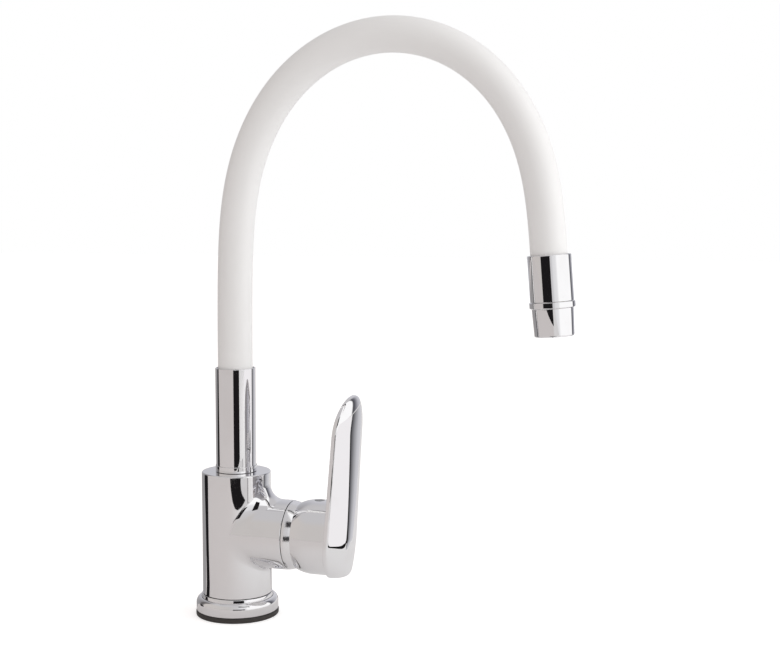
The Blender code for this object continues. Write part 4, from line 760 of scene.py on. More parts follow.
# %% The lever's sizes
BLADE_HALF = 25.0 * MM
BLADE_X = 73.4 * MM
BLADE_LEAN = math.tan(math.radians(5.0))
BLADE_CROWN = 9.8 * MM
BLADE_CROWN_TOP = 6.0 * MM
BLADE_FOOT = 26.3 * MM        # rounded end below the branch's axis
BLADE_STRAIGHT_TOP = 126.0 * MM
BLADE_TOP = 151.0 * MM
BLADE_SIDE = 3.2 * MM         # thickness at the edge
BLADE_MIDDLE = 5.4 * MM
BLADE_THINNED = 1.2 * MM      # how much thinner the edge is at the tip
BLADE_FOOT_POWER = 12.0       # how late the crown falls off towards each end
BLADE_TIP_FALL_POWER = 2.5
BLADE_TIP_FORWARD = 1.6 * MM  # the tip curves this far away from the tap
BLADE_ROUND = 0.7 * MM
BLADE_RINGS = 26
BLADE_CLOSER = 1.4            # above 1 the rings lie closer towards the edge
BLADE_CLEAR = 1.6             # they stop this many edge radii before the edge
HUB_START = 46.6 * MM
HUB_START_RADIUS = 22.2 * MM
HUB_RADIUS = 24.6 * MM
HUB_SWELL = 12.0 * MM
HUB_SWELL_POWER = 2.4
HUB_HOLLOW = 23.8 * MM
CORE_RADIUS = 19.5 * MM
CORE_END = 70.0 * MM
BOSS_RADIUS = 7.4 * MM
SOCKET_HALF = 3.8 * MM
SOCKET_END = 66.0 * MM
HUB_INSET = 1.6 * MM
HUB_OVERLAP = 1.2 * MM

# %% The blade's surface


def blade_outline(steps=96):
    """Foot, side, tip and side as (y, z).

    The foot and the tip are each half an ellipse.
    """
    angle = np.arange(steps) / steps * math.pi
    foot = np.stack([BLADE_HALF * np.cos(angle), BRANCH_HEIGHT - BLADE_FOOT * np.sin(angle)], axis=1)
    rise = np.linspace(BRANCH_HEIGHT, BLADE_STRAIGHT_TOP, 40, endpoint=False)
    side = np.stack([-BLADE_HALF + 0 * rise, rise], axis=1)
    tip_rise = (BLADE_TOP - BLADE_STRAIGHT_TOP) * np.sin(angle)
    tip = np.stack([-BLADE_HALF * np.cos(angle), BLADE_STRAIGHT_TOP + tip_rise], axis=1)
    far = np.stack([BLADE_HALF + 0 * rise, BRANCH_HEIGHT + BLADE_STRAIGHT_TOP - rise], axis=1)
    return np.concatenate([foot, side, tip, far])


def blade_face(y, z, front=True):
    """X of a face: the leaning edge, plus a crown that is a parabola across.

    Towards each end the crown falls off by the root of 1 - share ** power,
    where the share is 0 at the straight part and 1 at the very end. The tip
    also curves forward and gets thinner.
    """
    drop = np.clip((BRANCH_HEIGHT - z) / BLADE_FOOT, 0.0, 1.0)
    rise = np.clip((z - BLADE_STRAIGHT_TOP) / (BLADE_TOP - BLADE_STRAIGHT_TOP), 0.0, 1.0)
    width = np.maximum(BLADE_HALF * np.sqrt(1 - drop ** 2) * np.sqrt(1 - rise ** 2), WELD)
    height = np.clip((z - BRANCH_HEIGHT) / (BLADE_TOP - BRANCH_HEIGHT), 0.0, 1.0)
    crown = BLADE_CROWN + (BLADE_CROWN_TOP - BLADE_CROWN) * height
    crown = crown * np.sqrt(1 - drop ** BLADE_FOOT_POWER) * np.sqrt(1 - rise ** BLADE_TIP_FALL_POWER)
    bulge = crown * (1 - np.clip(np.abs(y) / width, 0.0, 1.0) ** 2)
    edge = BLADE_X + (z - BRANCH_HEIGHT) * BLADE_LEAN + BLADE_TIP_FORWARD * rise ** 2
    shrink = 1 - (BLADE_MIDDLE - BLADE_SIDE) / BLADE_CROWN
    return edge + bulge if front else edge - BLADE_SIDE + BLADE_THINNED * rise ** 3 + shrink * bulge


def blade_rings():
    """Rings from the spine to the edge, round it, and back to the spine.

    Round the edge a ring moves in by round * (1 - sine) and the face sinks by
    round * (1 - cosine), which is a quarter circle for each face.
    """
    outline = blade_outline()
    spine = np.stack([0 * outline[:, 0], np.clip(outline[:, 1], BRANCH_HEIGHT, BLADE_STRAIGHT_TOP)], axis=1)
    reach = np.linalg.norm(outline - spine, axis=1)
    shares = 1 - (1 - np.linspace(0.0, 1.0, BLADE_RINGS)) ** BLADE_CLOSER
    shares = shares[shares < 1 - BLADE_CLEAR * BLADE_ROUND / BLADE_HALF]
    bend = quarter(EDGE_ROWS)

    def face(front):
        """Rings of one face, from the spine out and over half of the edge."""
        share = np.concatenate([shares[:, None] + 0 * reach,
                                1 - BLADE_ROUND * (1 - np.sin(bend))[:, None] / reach])
        sink = np.concatenate([0 * shares, BLADE_ROUND * (1 - np.cos(bend))])[:, None]
        y, z = np.moveaxis(spine + share[..., None] * (outline - spine), -1, 0)
        return np.stack([blade_face(y, z, front) - sink * (1 if front else -1), y, z], axis=-1)

    return np.concatenate([face(True), face(False)[::-1]])


blade = solid("paddle_lever", [(blade_rings(), False, True)])
print("blade:", len(blade.polygons), "faces")

# %% The hub, and the two joined
HUB_COLUMNS = 144


def hub_rings():
    """Rings about the branch's axis, from inside the blade to the socket.

    The outer wall narrows towards the dome by a power of the distance. The
    hollow is a ball about the pivot, and the socket's rings are squares: a
    circle divided by the larger of |cosine| and |sine|.
    """
    turn = all_round(HUB_COLUMNS)
    cosine, sine = np.cos(turn), np.sin(turn)

    def ring(x, radius):
        y, z = radius * cosine, BRANCH_HEIGHT + radius * sine
        return np.stack([x + 0 * y, y, z], axis=-1)

    def face_ring(radius, front, shift):
        return ring(blade_face(radius * cosine, BRANCH_HEIGHT + radius * sine, front) + shift, radius)

    inside = [face_ring(share * HUB_RADIUS, True, -HUB_INSET) for share in (0.0, 0.3, 0.6, 0.85, 0.97)]
    inside.append(face_ring(HUB_RADIUS, False, HUB_OVERLAP))
    share = np.linspace(1.0, 0.0, 24)[:, None]
    loss = (HUB_RADIUS - HUB_START_RADIUS) * (1 - share) ** HUB_SWELL_POWER
    wall = ring(HUB_START + share * HUB_SWELL, HUB_RADIUS - loss)
    arc = np.linspace(math.acos((HUB_START - PIVOT_X) / HUB_HOLLOW),
                      math.asin(CORE_RADIUS / HUB_HOLLOW), 16)[:, None]
    hollow = ring(PIVOT_X + HUB_HOLLOW * np.cos(arc), HUB_HOLLOW * np.sin(arc))
    lip = ring(HUB_START, HUB_START_RADIUS - HOLD)
    square = SOCKET_HALF / np.maximum(np.abs(cosine), np.abs(sine))
    inner = [ring(CORE_END, CORE_RADIUS), ring(CORE_END, BOSS_RADIUS), ring(HUB_START, BOSS_RADIUS),
             ring(HUB_START, square), ring(SOCKET_END, square), ring(SOCKET_END, 0.0 * square)]
    return np.concatenate([np.stack(inside), wall, lip[None], hollow, np.stack(inner)])


hub = solid("hub", [(hub_rings(), False, True)])
lever = carve(blade, hub, "UNION")
print("lever:", len(lever.polygons), "faces")

# %% Holes for the index button and the grub screw
INDEX_X = 59.5 * MM
INDEX_RADIUS = 3.1 * MM
INDEX_HEIGHT = 3.6 * MM
GAP = 0.3 * MM
GRUB_RADIUS = 2.0 * MM
GRUB_LENGTH = 3.5 * MM
HUB_TOP = BRANCH_HEIGHT + HUB_RADIUS

lever = drill(lever, rod(INDEX_RADIUS + GAP, HUB_RADIUS - CORE_RADIUS + 2 * PAST),
              (INDEX_X, 0.0, HUB_TOP + PAST), (0.0, 0.0, -1.0))
lever = drill(lever, rod(GRUB_RADIUS + GAP, BOSS_RADIUS - SOCKET_HALF + PAST),
              (INDEX_X, 0.0, BRANCH_HEIGHT + BOSS_RADIUS + PAST), (0.0, 0.0, -1.0))
add_piece(lever, "chrome", "handle", ["lever_handle"])

button = rounded([(0.0, -INDEX_HEIGHT), (INDEX_RADIUS, -INDEX_HEIGHT), (INDEX_RADIUS, 0.0),
                  (0.0, GAP)], [0.0, 0.2 * MM, 0.35 * MM, 0.0])
button = turned("index_dot", button, (INDEX_X, 0.0, HUB_TOP), UP, SMALL_COLUMNS)
add_piece(button, "grey_plastic", "handle", ["index_button"])
grub = grub_screw("grub_screw", GRUB_RADIUS, GRUB_LENGTH,
                  (INDEX_X, 0.0, BRANCH_HEIGHT + SOCKET_HALF + GRUB_LENGTH), (0.0, 0.0, -1.0))
add_piece(grub, "spring_steel", "handle", ["lever_grub_screw"])
print("lever with holes:", len(lever.polygons), "faces")

# %% [markdown]
# ## Neck and hose
#
# The neck is a thin chrome tube that turns on the body. The hose comes out
# of it, bends over and ends in the spray head. The real hose bends anywhere,
# and the CAD model stands in for that with seven links. Here each layer of
# the hose is six tubes, from the middle of one link to the middle of the
# next, each with a joint in its own middle; the tubes keep the arch's resting
# shape.

# %% Neck
NECK_BORE = 12.2 * MM
NECK_RADIUS = 13.35 * MM
NECK_FOOT = 98.3 * MM
NECK_TOP = 166.3 * MM
COLLAR_RADIUS = 13.75 * MM
COLLAR_TOP = 101.1 * MM
SKIRT_BORE = 12.95 * MM       # the collar's skirt hides the slip ring
SKIRT_FOOT = 97.15 * MM

neck = rounded([(NECK_BORE, NECK_FOOT), (SKIRT_BORE, NECK_FOOT), (SKIRT_BORE, SKIRT_FOOT),
                (COLLAR_RADIUS, SKIRT_FOOT), (COLLAR_RADIUS, COLLAR_TOP), (NECK_RADIUS, COLLAR_TOP),
                (NECK_RADIUS, NECK_TOP), (NECK_BORE, NECK_TOP)],
               [0.0, 0.0, 0.0, 0.1 * MM, 0.3 * MM, 0.12 * MM, 0.3 * MM, 0.15 * MM])
neck = turned("neck_tube", neck)
add_piece(neck, "chrome", "spout", ["neck_sleeve"])
print("neck:", len(neck.polygons), "faces")

# %% The arch's centreline
ARCH_LENGTH = 463.0 * MM
ARCH_TURN = math.radians(175.5)
LINKS = 7
LINK = ARCH_LENGTH / LINKS
CURL_SHARES = (0.0, 0.08, 0.58, 0.83, 1.0, 0.91, 0.66, 0.0)
SAMPLES = 2801

travel = np.linspace(0.0, ARCH_LENGTH, SAMPLES)
curl = np.interp(travel, np.linspace(0.0, ARCH_LENGTH, LINKS + 1), CURL_SHARES)
lean = np.concatenate([[0.0], np.cumsum((curl[1:] + curl[:-1]) / 2)])
lean *= ARCH_TURN / lean[-1]
halfway = (lean[1:] + lean[:-1]) / 2
stride = ARCH_LENGTH / (SAMPLES - 1)
arch_x = np.concatenate([[0.0], np.cumsum(np.sin(halfway))]) * stride
arch_z = NECK_TOP + np.concatenate([[0.0], np.cumsum(np.cos(halfway))]) * stride


def along(s):
    """Place, tangent and outward normal at distances along the arch.

    The lean is the sum of the curl, and the place is the sum of the tangent.
    Past both ends the centreline runs on straight.
    """
    s = np.atleast_1d(np.asarray(s, float))
    inside = np.clip(s, 0.0, ARCH_LENGTH)
    angle = np.interp(inside, travel, lean)
    zero = 0 * angle
    tangent = np.stack([np.sin(angle), zero, np.cos(angle)], axis=-1)
    normal = np.stack([np.cos(angle), zero, -np.sin(angle)], axis=-1)
    place = np.stack([np.interp(inside, travel, arch_x), zero, np.interp(inside, travel, arch_z)], axis=-1)
    return place + tangent * (s - inside)[:, None], tangent, normal


print("arch ends at", (along(ARCH_LENGTH)[0][0] / MM).round(2), "mm")

# %% Layers of the hose
SLEEVE = 11.5 * MM
SLEEVE_BORE = 8.6 * MM
GOOSENECK = 8.2 * MM
GOOSENECK_BORE = 6.3 * MM
WATER = 5.9 * MM
WATER_BORE = 4.3 * MM
SLEEVE_START = 117.8 * MM - NECK_TOP
LINER_START = 106.3 * MM - NECK_TOP
SLEEVE_END = ARCH_LENGTH + 8.0 * MM
LINER_END = ARCH_LENGTH + 19.5 * MM
WIRE_PITCH = 3.0 * MM         # the gooseneck is wound from one wire
WIRE_DEPTH = 0.7 * MM
HOSE_SHARP_DEG = 60.0         # the wire's turns are shaded smooth


def tube(name, start, end, radius, bore, columns, step, winding=0.0):
    """A bent tube: rings of the outside, then rings of the bore back again.

    A ring is place + radius * (cosine * normal + sine * across). A winding
    takes depth * (1 - cosine(phase)) / 2 off the radius, where the phase is
    the distance over the pitch plus the turn, so it climbs as a thread does.
    """
    s = np.linspace(start, end, max(3, int(math.ceil((end - start) / step)) + 1))
    turn = all_round(columns)
    place, tangent, normal = along(s)
    around = np.cos(turn)[:, None] * normal[:, None] + np.sin(turn)[:, None] * np.array(ACROSS)
    phase = s[:, None] / WIRE_PITCH * math.tau + turn
    outside = (radius - winding * (1 - np.cos(phase)) / 2)[..., None] * around
    rings = np.concatenate([place[:, None] + outside, (place[:, None] + bore * around)[::-1]])
    return solid(name, [(rings, True, True)], HOSE_SHARP_DEG)


def bend_between(piece, joint):
    """Bake the tube's transform.

    The places half a link before and after its joint are worked out, but
    nothing uses them, so the tube does not follow the links.
    """
    places, tangents, normals = along([(joint - 0.5) * LINK, (joint + 0.5) * LINK])
    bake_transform(piece)


layers = [
    ("hose_sleeve", "white_silicone", SLEEVE, SLEEVE_BORE, SLEEVE_START, SLEEVE_END,
     72, 1.2 * MM, 0.0),
    ("gooseneck", "spring_steel", GOOSENECK, GOOSENECK_BORE, LINER_START, LINER_END,
     36, 0.5 * MM, WIRE_DEPTH),
    ("water_hose", "clear_hose", WATER, WATER_BORE, LINER_START, LINER_END,
     32, 2.4 * MM, 0.0),
]
for layer, finish, radius, bore, first, last, columns, step, winding in layers:
    cuts = [first] + [(joint + 0.5) * LINK for joint in range(1, LINKS - 1)] + [last]
    for joint in range(1, LINKS):
        mesh = tube(f"{layer}_span_{joint}", cuts[joint - 1], cuts[joint], radius, bore,
                    columns, step, winding)
        names = [f"{layer}_{joint}"] + ([f"{layer}_{LINKS}"] if joint == LINKS - 1 else [])
        piece = add_piece(mesh, finish, None, names)
        bend_between(piece, joint)
    print(layer, "has", LINKS - 1, "spans of", len(mesh.polygons), "faces")

# %% [markdown]
# ## Spray head
#
# The head is three turned chrome parts: a long ferrule round the hose's end,
# a ring that switches the jet, and a nozzle that narrows to its mouth. In the
# mouth sits the aerator: a cup, and a plate with a honeycomb of small holes.

# %% Ferrule, ring and nozzle
head_place, head_axis, head_side = (part[0] for part in along(ARCH_LENGTH))
FERRULE_RADIUS = 13.6 * MM
FERRULE_LENGTH = 28.75 * MM
SELECTOR_RADIUS = 14.28 * MM
SELECTOR_BORE = 9.3 * MM
SELECTOR_START = 28.87 * MM
SELECTOR_END = 32.75 * MM
NOZZLE_RADIUS = 13.0 * MM
NOZZLE_MOUTH = 12.4 * MM
NOZZLE_START = 32.87 * MM
NOZZLE_END = 50.5 * MM
NOZZLE_CAVITY = 10.3 * MM
NOZZLE_SHELF = 38.6 * MM

ferrule = rounded([(NECK_BORE, 0.0), (FERRULE_RADIUS, 0.0), (FERRULE_RADIUS, FERRULE_LENGTH),
                   (NECK_BORE, FERRULE_LENGTH)], [0.15 * MM, 0.6 * MM, 0.25 * MM, 0.15 * MM])
add_piece(turned("ferrule", ferrule, head_place, head_axis), "chrome", "head", ["head_ferrule"])

ring = rounded([(SELECTOR_BORE, SELECTOR_START), (SELECTOR_RADIUS, SELECTOR_START),
                (SELECTOR_RADIUS, SELECTOR_END), (SELECTOR_BORE, SELECTOR_END)],
               [0.0, 0.5 * MM, 0.5 * MM, 0.0])
add_piece(turned("jet_ring", ring, head_place, head_axis), "chrome", "nozzle", ["selector_ring"])

nozzle = rounded([(SELECTOR_BORE, NOZZLE_START), (NOZZLE_RADIUS, NOZZLE_START),
                  (NOZZLE_MOUTH, NOZZLE_END), (NOZZLE_CAVITY, NOZZLE_END),
                  (NOZZLE_CAVITY, NOZZLE_SHELF), (SELECTOR_BORE, NOZZLE_SHELF)],
                 [0.0, 0.3 * MM, 1.0 * MM, 0.3 * MM, 0.0, 0.0])
add_piece(turned("nozzle", nozzle, head_place, head_axis), "chrome", "nozzle", ["nozzle_shell"])
print("head hangs along", head_axis.round(4))

# %% Aerator
AERATOR_RADIUS = 10.0 * MM
AERATOR_START = 41.2 * MM
AERATOR_END = 49.5 * MM
AERATOR_BOWL = 8.7 * MM
AERATOR_MOUTH = 5.0 * MM
AERATOR_FLOOR = 42.4 * MM
PLATE_RADIUS = 8.4 * MM
PLATE_START = 47.5 * MM
PLATE_HOLE = 0.95 * MM
PLATE_PITCH = 2.5 * MM

cup = rounded([(AERATOR_MOUTH, AERATOR_START), (AERATOR_RADIUS, AERATOR_START),
               (AERATOR_RADIUS, AERATOR_END), (AERATOR_BOWL, AERATOR_END),
               (AERATOR_BOWL, AERATOR_FLOOR), (AERATOR_MOUTH, AERATOR_FLOOR)],
              [0.2 * MM, 0.2 * MM, 0.4 * MM, 0.2 * MM, 0.0, 0.2 * MM])
add_piece(turned("aerator_cup", cup, head_place, head_axis, 96), "white_plastic", "nozzle",
          ["aerator_body"])


def honeycomb(pitch, reach):
    """Places of a hexagonal pattern: whole steps along two axes at 60 degrees."""
    step = np.arange(-4, 5)
    a, b = (side.ravel() for side in np.meshgrid(step, step))
    places = np.stack([a + b / 2, b * math.sqrt(3) / 2], axis=-1) * pitch
    return places[np.linalg.norm(places, axis=1) < reach]


def drilled_plate(name, holes):
    """A thin disc with a pattern of small holes, cut in one Boolean."""
    disc = rounded([(0.0, PLATE_START), (PLATE_RADIUS, PLATE_START), (PLATE_RADIUS, AERATOR_END),
                    (0.0, AERATOR_END)], [0.0, 0.1 * MM, 0.1 * MM, 0.0])
    disc = turned(name, disc, head_place, head_axis, 96)
    pin = [(0.0, PLATE_START - PAST), (PLATE_HOLE, PLATE_START - PAST),
           (PLATE_HOLE, AERATOR_END + PAST), (0.0, AERATOR_END + PAST)]
    rod_grid = lathe(pin, head_place, head_axis, 12)
    shifts = holes[:, :1] * head_side + holes[:, 1:] * np.array(ACROSS)
    cutter = solid("pins", [(rod_grid + shift, False, True) for shift in shifts])
    return carve(disc, cutter)


holes = honeycomb(PLATE_PITCH, PLATE_RADIUS - 1.5 * PLATE_HOLE)
plate = drilled_plate("jet_plate", holes)
add_piece(plate, "white_plastic", "nozzle", ["flow_straightener"])
print("aerator plate with", len(holes), "holes and", len(plate.polygons), "faces")

# %% [markdown]
# ## Finishes of the pieces that keep their CAD shape
#
# The cartridge, the seals and the brass adapters are hidden, and their CAD
# shapes are right. They only get the finish that the record names for them.

# %% Finish the carried pieces
slots = {part["node"]: part["material_slot"] for part in frame["record"]["subparts"]}
carried = [name for name, node in frame["nodes"].items() if not node.hide_render]
for name in carried:
    node = frame["nodes"][name]
    node.material_slots[0].material = FINISH[slots[name]]
print(len(carried), "pieces keep their CAD shape")

# %% [markdown]
# ## Studio
#
# Chrome shows its surroundings, so the studio is most of its look. A round
# room glows warm grey on the left, white on the right and pale grey above.
# It and the cards are seen only in reflections: they cast no shadow and take
# no light away. Directions are in degrees to the camera's right, with the
# camera itself at 0 and the far side at 180.

# %% Camera
CAMERA_PLACE = Vector((0.37642, -0.85237, 0.27458))
CAMERA_TURN = math.radians(17.454)
CAMERA_PITCH = math.radians(4.932)
CAMERA_LENS = 64.615          # 1,400 pixels of a picture that is 780 wide
CAMERA_SENSOR = 36.0
CAMERA_SHIFT = -0.001

camera = bpy.data.cameras.new("camera")
camera.lens = CAMERA_LENS
camera.sensor_width = CAMERA_SENSOR
camera.shift_x = CAMERA_SHIFT
camera_object = placed("camera", camera)
camera_object.location = CAMERA_PLACE
camera_object.rotation_euler = (math.pi / 2 - CAMERA_PITCH, 0.0, CAMERA_TURN)
bpy.context.scene.camera = camera_object
TO_CAMERA = np.array([math.sin(CAMERA_TURN), -math.cos(CAMERA_TURN), 0.0])
TO_RIGHT = np.array([math.cos(CAMERA_TURN), math.sin(CAMERA_TURN), 0.0])
print("camera at", CAMERA_PLACE)

# %% Materials of the studio


def studio_material(name):
    """A material without a Principled BSDF, and its node tree."""
    made = bpy.data.materials.new(name)
    made.use_nodes = True
    tree = made.node_tree
    tree.nodes.remove(tree.nodes["Principled BSDF"])
    return made, tree, tree.nodes["Material Output"].inputs["Surface"]


def glow_out(tree, surface, colour):
    """Send a colour to the surface as a steady glow."""
    glow = wire(tree, "ShaderNodeEmission", {"Color": colour, "Strength": 1.0})
    tree.links.new(glow.outputs["Emission"], surface)


def part_along(tree, place, axis):
    """How far a place lies along an axis."""
    return wire(tree, "ShaderNodeVectorMath", {0: place, 1: tuple(axis)},
                operation="DOT_PRODUCT").outputs["Value"]


def plain_card(name, colour):
    """A card that glows in one colour."""
    made, tree, surface = studio_material(name)
    glow_out(tree, surface, (*colour, 1.0))
    return made


def ramp(tree, value, stops):
    """A colour ramp from (place, (red, green, blue)) pairs."""
    node = wire(tree, "ShaderNodeValToRGB", {"Fac": value})
    points = node.color_ramp.elements
    points[0].position, points[1].position = stops[0][0], stops[-1][0]
    points[0].color, points[1].color = (*stops[0][1], 1.0), (*stops[-1][1], 1.0)
    for place, colour in stops[1:-1]:
        points.new(place).color = (*colour, 1.0)
    return node.outputs["Color"]


FLOOR_GLOW = 0.56             # how much the floor adds where it is looked at
FLOOR_MIRRORED = 0.12         # share of that glow in reflections
FLOOR_PAINTED_BOUNCE = 0.2           # and in diffuse rays, as painted bounce light on the tap
# Greyer paper on the left is painted shade, for the darker room on that side.
FLOOR_PAINTED_SHADE_LEFT = (0.70, 0.665, 0.655)
FLOOR_RIGHT = (0.84, 0.84, 0.84)
FLOOR_TURNS = (-0.12, 0.16)   # metres to the right where one becomes the other


def floor_material():
    """White paper that keeps the shadow.

    What looks at it directly sees a steady glow on top of the paper's own
    light, so that it reads as white without more light on the tap. In
    reflections it is a little greyer on the left, where the room is darker:
    its colour there is painted shade. A weaker glow that diffuse rays see is
    painted bounce light on the tap.
    """
    made = bpy.data.materials.new("floor_paper")
    made.use_nodes = True
    tree = made.node_tree
    shader = tree.nodes["Principled BSDF"]
    shader.inputs["Roughness"].default_value = 0.9
    shader.inputs["Specular IOR Level"].default_value = 0.0
    # The paper turns greyer to the left: painted shade.
    share = spread(tree, part_along(tree, place_of(tree), TO_RIGHT), FLOOR_TURNS, kind="SMOOTHSTEP")
    mix_colours(tree, shader, share, FLOOR_PAINTED_SHADE_LEFT, FLOOR_RIGHT)
    ray = wire(tree, "ShaderNodeLightPath", {}).outputs
    mirrored = maths(tree, "MAXIMUM", ray["Is Glossy Ray"], ray["Is Transmission Ray"])
    mirrored = maths(tree, "MULTIPLY", mirrored, FLOOR_MIRRORED)
    # Diffuse rays see the floor glow too: painted bounce light that lifts the tap's underside.
    painted_bounce = maths(tree, "MULTIPLY", ray["Is Diffuse Ray"], FLOOR_PAINTED_BOUNCE)
    strength = maths(tree, "MAXIMUM", ray["Is Camera Ray"], mirrored)
    strength = maths(tree, "MAXIMUM", strength, painted_bounce)
    strength = maths(tree, "MULTIPLY", strength, FLOOR_GLOW)
    glow = wire(tree, "ShaderNodeEmission", {"Color": (1.0, 1.0, 1.0, 1.0), "Strength": strength})
    both = wire(tree, "ShaderNodeAddShader", {0: shader.outputs["BSDF"], 1: glow.outputs["Emission"]})
    tree.links.new(both.outputs["Shader"], tree.nodes["Material Output"].inputs["Surface"])
    return made


def turn_share(tree, place):
    """The direction to the camera's right as 0 to 1, from -180 to 180 degrees."""
    angle = maths(tree, "ARCTAN2", part_along(tree, place, TO_RIGHT), part_along(tree, place, TO_CAMERA))
    return spread(tree, angle, (-math.pi, math.pi))


ROOM_FADE = (0.64, 0.86)      # sine of the height where the bands fade


def room_material():
    """Bands round the room, which fade into the bands above them."""
    made, tree, surface = studio_material("room_glow")
    place = place_of(tree)
    share = turn_share(tree, place)
    flat = wire(tree, "ShaderNodeVectorMath", {0: place}, operation="NORMALIZE").outputs["Vector"]
    height = wire(tree, "ShaderNodeSeparateXYZ", {0: flat}).outputs["Z"]
    up = spread(tree, height, ROOM_FADE, kind="SMOOTHSTEP")
    around, above = (ramp(tree, share, [((degrees + 180) / 360, colour) for degrees, colour in bands])
                     for bands in (ROOM_BANDS, TOP_BANDS))
    glow_out(tree, surface, mixed(tree, up, around, above))
    return made


ROOM_TOP = (0.60, 0.59, 0.60)
WARM = (0.64, 0.60, 0.575)
COOL = (0.66, 0.66, 0.70)
WHITE = (1.1, 1.1, 1.1)
ROOM_BANDS = [(-180, COOL), (-165, (0.50, 0.50, 0.53)), (-140, (0.36, 0.35, 0.36)),
              (-124, (0.28, 0.27, 0.28)), (-118, (0.14, 0.13, 0.13)), (-108, (0.14, 0.13, 0.13)),
              (-100, WARM), (-20, (0.60, 0.575, 0.56)), (8, (0.66, 0.655, 0.67)),
              (14, (0.80, 0.80, 0.81)), (28, (0.86, 0.86, 0.87)), (36, WHITE), (109, WHITE),
              (112, (0.08, 0.08, 0.09)), (119, (0.13, 0.13, 0.15)), (138, (0.50, 0.50, 0.54)),
              (165, COOL)]
TOP_BANDS = [(-180, ROOM_TOP), (24, ROOM_TOP), (34, WHITE), (109, WHITE), (114, ROOM_TOP)]
BLACK = plain_card("black_card", (0.012, 0.011, 0.012))
GREY = plain_card("grey_card", (0.33, 0.32, 0.325))
PALE_GREY = plain_card("pale_grey_card", (0.68, 0.67, 0.67))
BRIGHT = plain_card("white_card", (0.97, 0.95, 0.96))
print("room has", len(ROOM_BANDS), "bands")

# %% Floor, room and cards


def studio_sheet(name, grid, material, seen_by_camera=False, uv=None):
    """A stage surface. Cards and the room are seen only by reflections."""
    rows, columns = grid.shape[:2]
    mesh = bpy.data.meshes.new(name)
    faces = quads(rows, columns, False, False, 0)
    mesh.from_pydata(grid.reshape(-1, 3).tolist(), [], faces.tolist())
    mesh.materials.append(material)
    if uv is not None:
        layer = mesh.uv_layers.new(name="place")
        layer.data.foreach_set("uv", uv.reshape(-1, 2)[faces.ravel()].ravel())
    sheet = placed(name, mesh)
    if not seen_by_camera:
        sheet.visible_camera = False
        sheet.visible_diffuse = False
        sheet.visible_shadow = False
        sheet.visible_transmission = False


def studio_point(right, toward, height):
    """A point of the studio: metres to the camera's right, towards it, up."""
    right, toward, height = np.broadcast_arrays(right, toward, height)
    return right[..., None] * TO_RIGHT + toward[..., None] * TO_CAMERA + height[..., None] * np.array(UP)


def polar_point(radius, degrees, height):
    """A point of the studio by its distance and direction from the tap."""
    angle = np.radians(degrees)
    return studio_point(radius * np.sin(angle), radius * np.cos(angle), height)


FLOOR_HALF = 6.0
FLOOR_DROP = 0.1 * MM
CARD_LIFT = 0.3 * MM
SHADE_LIFT = 0.15 * MM
ROOM_RADIUS = 2.2

side = np.linspace(-FLOOR_HALF, FLOOR_HALF, 2)
floor_x, floor_y = np.meshgrid(side, side)
floor_grid = np.stack([floor_x, floor_y, np.full_like(floor_x, -FLOOR_DROP)], axis=-1)
studio_sheet("floor", floor_grid, floor_material(), True)

rise = np.radians(np.linspace(0.0, 90.0, 19))[:, None]
round_room = np.linspace(-180.0, 180.0, 97)
room_grid = polar_point(ROOM_RADIUS * np.cos(rise), round_room, ROOM_RADIUS * np.sin(rise) + 0 * round_room)
studio_sheet("room", room_grid, room_material())

# %% [markdown]
# The dark lines in the metal are black paper. A hook of paper on the floor in
# front gives the curved line high on the body, and a low card that stands
# beyond it gives the line on the neck. A small card higher up does that for
# the spray head, and a narrow wedge on the floor gives the line near each
# left edge. Grey paper beside them tones the rest down, and a strip overhead
# draws a thin line along the branch and the lever's hub. The grey paper
# behind the tap is a painted shadow: the tap's own soft shadow on the floor,
# seen only in reflections.

# %% Black and grey paper
HOOK = np.array([(33.0, 0.400, 34.0, 0.403), (27.0, 0.385, 29.0, 0.418), (18.0, 0.370, 24.0, 0.432),
                 (8.0, 0.362, 21.0, 0.452), (0.0, 0.370, 19.6, 0.475), (-7.0, 0.400, 19.6, 0.490),
                 (-12.0, 0.450, 20.0, 0.515), (-15.0, 0.520, 21.0, 0.560)])
WEDGE = np.array([(-104.0, 0.066, -86.0, 0.066), (-106.0, 0.10, -89.0, 0.10), (-110.0, 0.15, -94.0, 0.15),
                  (-114.0, 0.22, -98.0, 0.22), (-118.0, 0.32, -100.0, 0.32), (-124.0, 0.47, -101.0, 0.47),
                  (-122.0, 0.90, -104.0, 0.90), (-118.0, 2.15, -106.0, 2.15)])
LEFT_SHADE = np.array([(-150.0, 0.03, -104.0, 0.03), (-150.0, 0.22, -113.0, 0.22),
                       (-160.0, 0.47, -120.0, 0.47), (-165.0, 2.15, -117.0, 2.15)])
# Behind the tap, grey paper is a painted shadow: the tap's own soft shadow on the floor.
BACK_PAINTED_SHADOW = np.array([(142.0, 0.03, 185.0, 0.03), (146.0, 0.12, 185.0, 0.12), (160.0, 0.16, 185.0, 0.16)])
FRONT_SHADE = np.array([(20.0, 0.30, 40.0, 0.30), (21.0, 0.40, 41.0, 0.40), (18.0, 0.60, 42.0, 0.60)])
FRONT_LINE = np.array([(40.0, 0.30, 43.0, 0.30), (41.0, 0.40, 44.0, 0.40), (42.0, 0.60, 45.0, 0.60)])
FRONT_CARD = {"left": -0.063, "right": 0.262, "toward": 0.53, "low": CARD_LIFT, "high": 0.108}
HEAD_CARD = {"left": 0.032, "right": 0.191, "toward": 0.20, "low": 0.185, "high": 0.305}
STRIP_ENDS = np.array([-0.5, 0.8])[:, None]
STRIP_SIDES = np.array([0.065, 0.155])
STRIP_HEIGHT = 1.0


